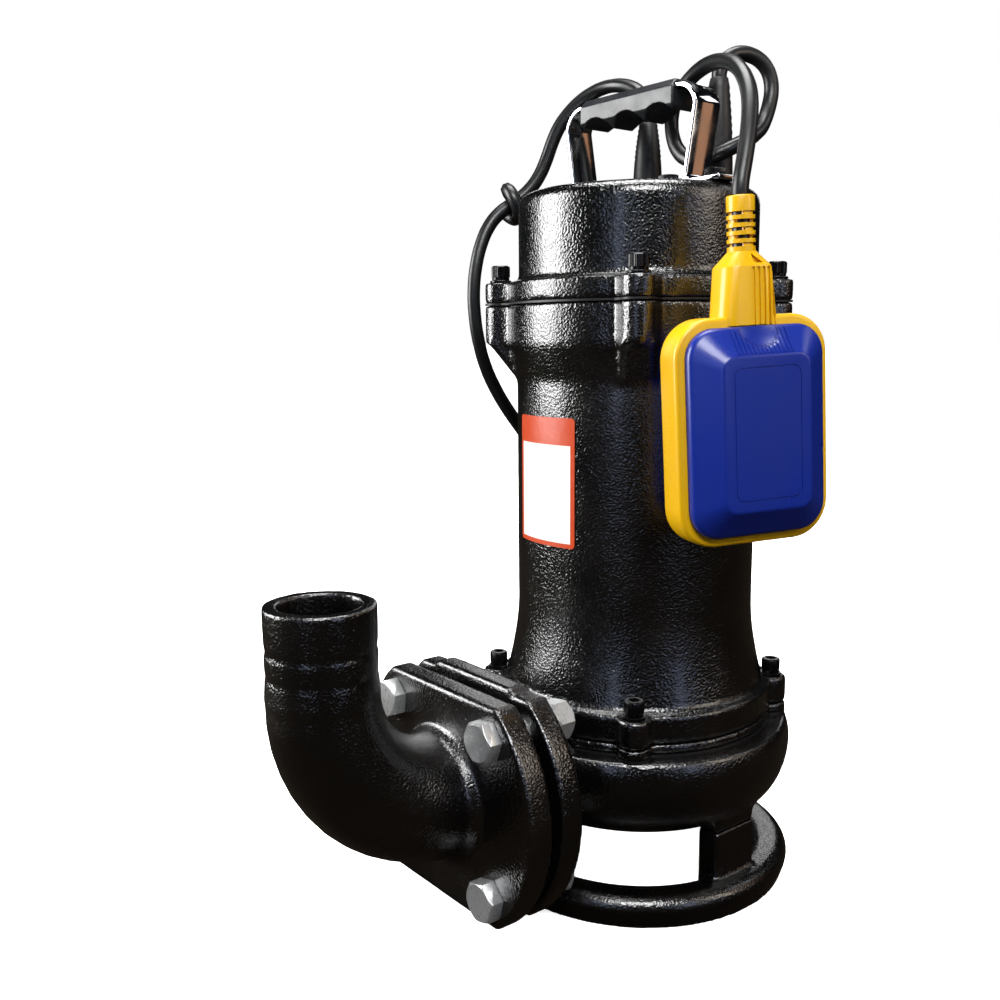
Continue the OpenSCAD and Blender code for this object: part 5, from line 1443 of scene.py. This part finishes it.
@dataclass
class CableEntry:
    """One rubber boot with its plate and screws on the cover."""

    label: str
    node: str
    place: Pair
    tip_z: float
    tip_radius: float
    shoulder: Pair
    plate_turn: float
    cover_z: float = 368.0
    wall: float = 7.0
    radius: float = 8.0
    stem: float = 7.5
    flange: float = 11.0
    flange_height: float = 2.5
    plate: float = 2.0
    screw_reach: float = 15.0

    def boot(self) -> None:
        """Makes the tapered boot: faint rings on a slim cone, with a rounded shoulder at its tip."""
        z0 = self.cover_z
        top = z0 + self.flange_height
        profile = [(0, z0 - self.wall), (self.stem - 0.1, z0 - self.wall), (self.stem - 0.1, z0)]
        profile += [(self.flange, z0), (self.flange, top - 0.5), (self.flange - 0.5, top), (self.radius, top)]
        start = top + self.plate + 3
        shoulder_r, shoulder_h = self.shoulder
        span = self.tip_z - shoulder_h - start
        profile.append((self.radius, start))
        steps = 24
        for i in range(1, steps + 1):
            share = i / steps
            bulge = 0.55 * math.sin(math.pi * share)
            ring = 0.16 * math.cos(math.pi * i) if share > 0.45 else 0.0
            wide = self.radius + (shoulder_r - self.radius) * share + bulge + ring
            profile.append((wide, start + span * share))
        tip = self.tip_radius
        profile += [(tip + 0.3, self.tip_z - 0.3), (tip, self.tip_z), (0, self.tip_z)]
        bench = Bench.lathe(f"{self.label}_boot_moulding", profile, 56).shift(moved(*self.place, 0))
        mount(bench.shade(Shading.BY_ANGLE, 50), "pump", "boot_rubber", self.node)

    def fixings(self) -> tuple[Bench, Bench]:
        """Makes the plate and the two screws.

        Returns:
            The plate and the screws, in place.
        """
        z = self.cover_z + self.flange_height
        reach = self.screw_reach
        outline = arc((0, reach), 4.5, 0, 180, 10) + arc((0, 0), self.flange, 158, 202, 6)
        outline += arc((0, -reach), 4.5, 180, 360, 10) + arc((0, 0), self.flange, -22, 22, 6)
        plate = Bench.prism("plate", [(x, y, z) for x, y in outline], z=self.plate)
        plate.carve(Bench.cylinder("bore", self.radius + 0.05, (0, 0, z - 1), 5, 48))
        plate.round_edges(0.35, 2, 40)
        head_z = z + self.plate
        pan = [(0, 0), (3.6, 0), (3.6, 1.2), (3.1, 2.1), (2.0, 2.6), (0, 2.6)]
        head = Bench.lathe("pan_head", [(r, head_z + up) for r, up in pan], 32)
        for angle in (0, 90):
            slot = Bench.block("slot", (-2.3, -0.4, head_z + 1.4), (2.3, 0.4, head_z + 4))
            head.carve(slot.shift(turned(angle)))
        shank = Bench.cylinder("shank", 2.0, (0, 0, self.cover_z - self.wall + 2), self.wall + 2.6, 24)
        screw = join("screw", [head, shank])
        screws = screw.repeat("screws", [moved(0, s * reach, 0) @ turned(30 * s) for s in (-1, 1)])
        spot = moved(*self.place, 0) @ turned(self.plate_turn)
        return plate.shift(spot), screws.shift(spot)


@dataclass
class CableEntries:
    """Both cable entries on the cover."""

    entries: Sequence[CableEntry] = (
        CableEntry("lead", "lead_boot", (-25, -17), 409.0, 4.4, (5.0, 1.2), 40.0),
        CableEntry("float", "float_boot", (-30, 28), 425.0, 4.3, (5.4, 5.0), -43.0),
    )

    def build(self) -> None:
        """Makes the boots, plates and screws."""
        plates, screws = [], []
        for entry in self.entries:
            entry.boot()
            plate, pair = entry.fixings()
            plates.append(plate)
            screws.append(pair)
        mount(join("boot_clamp_plates", plates).shade(), "pump", "black_steel", "boot_plates")
        mount(join("boot_pan_screws", screws).shade(), "pump", "black_steel", "boot_screws")


@dataclass
class Sticker:
    """Blank two-colour sticker on the housing."""

    housing_radius: float = 64.0
    glue: float = 0.05
    thickness: float = 0.3
    width: float = 44.0
    height: float = 66.0
    low_z: float = 188.0
    middle: float = -3.0
    corner: float = 2.0

    def build(self) -> None:
        """Makes the film, curved round the housing, with its UV map."""
        half = math.degrees(self.width / 2 / self.housing_radius)
        flat = round_square(self.width, self.height, self.corner, 4)
        bench = Bench.outline("blank_sticker_film", [(u, 0.0, v) for u, v in flat])
        steps = 16
        for i in range(1, steps):
            u = -self.width / 2 + self.width * i / steps
            bpy.ops.mesh.select_all(action="SELECT")
            bpy.ops.mesh.bisect(plane_co=metres(u, 0, 0), plane_no=(1, 0, 0))
        bench.rest()
        mesh = bench.obj.data
        film = mesh.uv_layers.new(name="film")
        for loop in mesh.loops:
            place = mesh.vertices[loop.vertex_index].co / MM
            film.data[loop.index].uv = (place.x / self.width + 0.5, place.z / self.height + 0.5)
        for vertex in mesh.vertices:
            u, v = vertex.co.x / MM, vertex.co.z / MM
            x, y = polar(self.housing_radius + self.glue, self.middle + u / (self.width / 2) * half)
            vertex.co = metres(x, y, self.low_z + self.height / 2 + v)
        bench.edit().outward()
        bench.pick(lambda centre, normal: centre.x * normal.x + centre.y * normal.y < 0)
        bpy.ops.mesh.flip_normals()
        bench.modify("SOLIDIFY", thickness=self.thickness * MM, offset=1.0)
        mount(bench.shade(), "pump", "sticker_film", "blank_sticker")


# ---------------------------------------------------------------------------------------------
# Float switch
# ---------------------------------------------------------------------------------------------


@dataclass
class FloatSwitch:
    """Float that hangs from its cord: rim, fluted neck, slotted relief and two crowned shells."""

    hang: Triple = (31.0, 93.0, 355.0)
    turn: float = -22.0
    tilt: float = 3.0
    width: float = 76.0
    height: float = 103.0
    rim_thickness: float = 16.5
    rim_width: float = 9.0
    corner: float = 18.0
    middle: float = -104.0
    inset: float = 4.5
    wall: float = 2.2
    neck_low: float = 29.0
    neck_high: float = 24.0
    neck_thickness: float = 20.0
    neck_corner: float = 7.0
    shoulder_z: float = -30.5
    flutes: Sequence[Pair] = ((0.4, 0.8), (-2.2, 1.0), (-4.8, 1.2), (-7.4, 1.7), (-10.0, 3.0))
    flute_width: float = 1.3
    relief_z: float = -24.0
    relief_radius: float = 6.3
    collar: float = 7.0
    slot_count: int = 5
    slot_pitch: float = 3.4
    slot_height: float = 1.6
    slot_turns: Pair = (15.0, 95.0)
    core_radius: float = 3.9
    panel: Pair = (42.0, 68.0)
    panel_rise: float = 13.0
    panel_line_in: float = 4.5
    panel_line_width: float = 0.5
    panel_line_depth: float = 0.35
    dent_radius: float = 27.4
    dent_depth: float = 1.7
    stripe_count: int = 14
    stripe_pitch: float = 2.03
    stripe_first: float = -13.2
    stripe_width: float = 1.1
    stripe_lift: float = 0.6

    def place(self) -> Matrix:
        """Frame of the float: it hangs down -z from the end of its cord and faces +y."""
        return moved(*self.hang) @ turned(self.turn) @ turned(self.tilt, "Y")

    @property
    def top(self) -> float:
        """Height of the rim's upper edge."""
        return self.middle + self.height / 2

    def rim(self) -> Bench:
        """Makes the rim's rounded ring."""
        half = self.rim_thickness / 2
        bore = (self.width - 2 * self.rim_width, self.height - 2 * self.rim_width)
        outer = round_square(self.width, self.height, self.corner, 10)
        inner = round_square(*bore, self.corner - self.rim_width + 2, 10)
        ring = Bench.prism("ring", [(x, -half, z + self.middle) for x, z in outer], y=2 * half)
        hole = Bench.prism("hole", [(x, -half - 2, z + self.middle) for x, z in inner], y=2 * half + 4)
        return ring.carve(hole).round_edges(1.9, 4, 50)

    def neck(self) -> Bench:
        """Makes the neck: a rounded column with a conical shoulder, flutes and a small pocket."""
        half = self.neck_thickness / 2
        low = self.top - 4
        round_top = 2 * self.relief_radius - 0.5
        levels = (
            (self.neck_low, self.neck_thickness, self.neck_corner, low),
            (self.neck_high + 0.3, self.neck_thickness, self.neck_corner, self.shoulder_z - 0.8),
            (self.neck_high - 0.5, self.neck_thickness - 0.5, self.neck_corner, self.shoulder_z),
            (round_top, round_top, round_top / 2 - 0.05, self.relief_z),
        )
        neck = loft("neck", [[(x, y, z) for x, y in round_square(w, t, r, 8)] for w, t, r, z in levels])
        foot, peak = self.shoulder_z + 0.9, self.shoulder_z + 5.0
        tools = []
        for face in (-1, 1):
            for x, depth in self.flutes:
                low_y, high_y = sorted((face * (half - depth), face * (half + 1)))
                corner = (x - self.flute_width, low_y, low - 1)
                tools.append(Bench.block("flute", corner, (x, high_y, self.shoulder_z - 0.9)))
            corners = [(-0.8, foot), (-5.6, foot), (-0.8, peak)]
            tools.append(Bench.prism("pocket", [(x, face * 6.2, z) for x, z in corners], y=face * 5).rest())
        return neck.carve(join("flutes", tools))

    def relief(self) -> Bench:
        """Makes the strain relief: a collar and rings round the cord, with slots between them."""
        r, inner, gap = self.relief_radius, self.core_radius + 0.05, self.slot_height
        tops = [-self.collar - self.slot_pitch * i for i in range(self.slot_count)]
        profile = [(inner, self.relief_z - 1), (r, self.relief_z - 1)]
        for top in reversed(tops):
            profile += [(r, top - gap), (r - 0.7, top - gap), (r - 0.7, top), (r, top)]
        profile += [(r, -0.5), (r - 0.45, -0.05), (inner, -0.05)]
        tube = Bench.lathe("relief", [*profile, profile[0]], 40)
        cuts = []
        for i, top in enumerate(tops):
            slot = Bench.block("slot", (2.4, -6.2, top - gap + 0.02), (9, 6.2, top - 0.02))
            side = self.slot_turns[i % 2]
            cuts += [slot.twin(turned(side)), slot.twin(turned(side + 180))]
            bpy.data.objects.remove(slot.obj)
        tube.carve(join("slots", cuts))
        return tube.round_edges(0.18, 1, 40)

    def shell_levels(self) -> list[tuple[float, float, float, float]]:
        """Sizes of the shell's outline from the rim outwards, as width, height, corner and rise."""
        w, h = self.width - 2 * self.inset, self.height - 2 * self.inset
        pw, ph = self.panel
        rise = self.panel_rise
        return [
            (w, h, 13.5, 0.0),
            (w, h, 13.5, 2.3),
            (w - 0.5, h - 0.5, 13.3, 3.4),
            (w - 1.5, h - 1.5, 12.9, 4.3),
            (w - 3.2, h - 3.2, 12.2, 5.0),
            (pw + 2.8, ph + 2.8, 6.6, rise - 1.0),
            (pw + 1.2, ph + 1.2, 5.9, rise - 0.25),
            (pw, ph, 5.4, rise - 0.04),
            (pw - 1.4, ph - 1.4, 4.8, rise),
        ]

    def dent(self) -> Bench:
        """Makes the ball that presses the thumb rest into the top of a shell's slope."""
        edge, panel = self.shell_levels()[4], self.shell_levels()[5]
        slope = Vector((0, (edge[1] - panel[1]) / 2, panel[3] - edge[3])).normalized()
        reach = self.dent_radius - self.dent_depth
        y = self.rim_thickness / 2 + edge[3] + slope.y * reach
        z = self.middle + edge[1] / 2 + slope.z * reach
        half_circle = arc((0, 0), self.dent_radius, -90, 90, 48)
        return Bench.lathe("thumb_ball", half_circle, 96).shift(moved(0, y, z))

    def panel_line(self) -> Bench:
        """Makes the frame that engraves the line in the panel."""
        y = self.rim_thickness / 2 + self.panel_rise - self.panel_line_depth
        width, height = (size - 2 * self.panel_line_in for size in self.panel)
        across = 2 * self.panel_line_width
        outside = round_square(width, height, 4.0, 6)
        inside = round_square(width - across, height - across, 3.5, 6)
        line = Bench.prism("line", [(x, y, z + self.middle) for x, z in outside], y=1.0)
        return line.carve(Bench.prism("core", [(x, y - 1.0, z + self.middle) for x, z in inside], y=3.0))

    def shell(self) -> Bench:
        """Makes one blue shell from its stacked outlines, with its thumb rest and stripes."""
        y0 = self.rim_thickness / 2
        rows = [
            [(x, y0 + rise, z + self.middle) for x, z in round_square(w, h, r, 8)]
            for w, h, r, rise in self.shell_levels()
        ]
        bench = loft("shell", rows, closed=False)
        bench.modify("SOLIDIFY", thickness=self.wall * MM, offset=-1.0)
        bench.carve(self.dent(), self.panel_line())
        spots = [self.stripe_first + self.stripe_pitch * i for i in range(self.stripe_count)]
        stripes = join("stripes", [self.stripe(x) for x in spots])
        return join("shell", [bench, stripes.carve(self.dent())])

    def stripe(self, x: float) -> Bench:
        """Makes one raised stripe on the upper slope of a shell."""
        y0 = self.rim_thickness / 2
        levels = self.shell_levels()
        high = (self.middle + levels[4][1] / 2 + 0.6, y0 + levels[4][3] - 0.3)
        low = (self.middle + levels[5][1] / 2 - 0.2, y0 + levels[5][3])
        lift, half = self.stripe_lift, self.stripe_width / 2
        side = [(high[0], high[1] - 0.6), (high[0], high[1] + 0.3), (high[0] - 0.9, high[1] + 0.6 + lift)]
        side += [(low[0], low[1] + lift), (low[0], low[1] - 0.6)]
        bench = Bench.prism("stripe", [(x - half, y, z) for z, y in side], x=2 * half)
        return bench.round_edges(0.18, 1, 50)

    def core(self) -> Bench:
        """Makes the end of the cord inside the relief."""
        low = self.relief_z - 0.5
        return Bench.cylinder("cord_end_in_relief", self.core_radius, (0, 0, low), -low - 0.05, 24)

    def build(self) -> None:
        """Makes the whole float."""
        place = self.place()
        yellow = join("float_rim_moulding", [self.rim(), self.neck(), self.relief()]).shift(place)
        mount(yellow.shade(Shading.BY_ANGLE, 40), "float", "float_yellow", "float_rim")
        pair = self.shell().repeat("float_blue_shells", [place, place @ turned(180)])
        mount(pair.shade(Shading.BY_ANGLE, 30), "float", "float_blue", "float_shells")
        mount(self.core().shift(place).shade(), "float", "cable_jacket")


# ---------------------------------------------------------------------------------------------
# Solids that stay
# ---------------------------------------------------------------------------------------------


@dataclass
class CarriedSolids:
    """CAD nodes whose shape is right and that only need their finish."""

    names: list[str] = field(default_factory=list)

    def build(self) -> None:
        """Gives each node that still shows the finish of its material slot."""
        for part in frame["record"]["subparts"]:
            node = frame["nodes"].get(part["node"])
            if node is None or node.hide_render:
                continue
            node.data.materials.clear()
            node.data.materials.append(FINISHES[part["material_slot"]].material())
            self.names.append(node.name)
        LOG.info("carried over: %s", ", ".join(self.names))


def main() -> None:
    """Builds the studio, the cords and every sub-assembly, in that order."""
    logging.basicConfig(level=logging.INFO, format="%(name)s: %(message)s")
    assemblies = (
        Studio(),
        MainsLead(),
        FloatCord(),
        Castings(),
        CapScrews(),
        FlangeBolting(),
        CarryingHandle(),
        CableEntries(),
        Sticker(),
        FloatSwitch(),
        CarriedSolids(),
    )
    for assembly in assemblies:
        assembly.build()


if __name__ == "__main__":
    main()
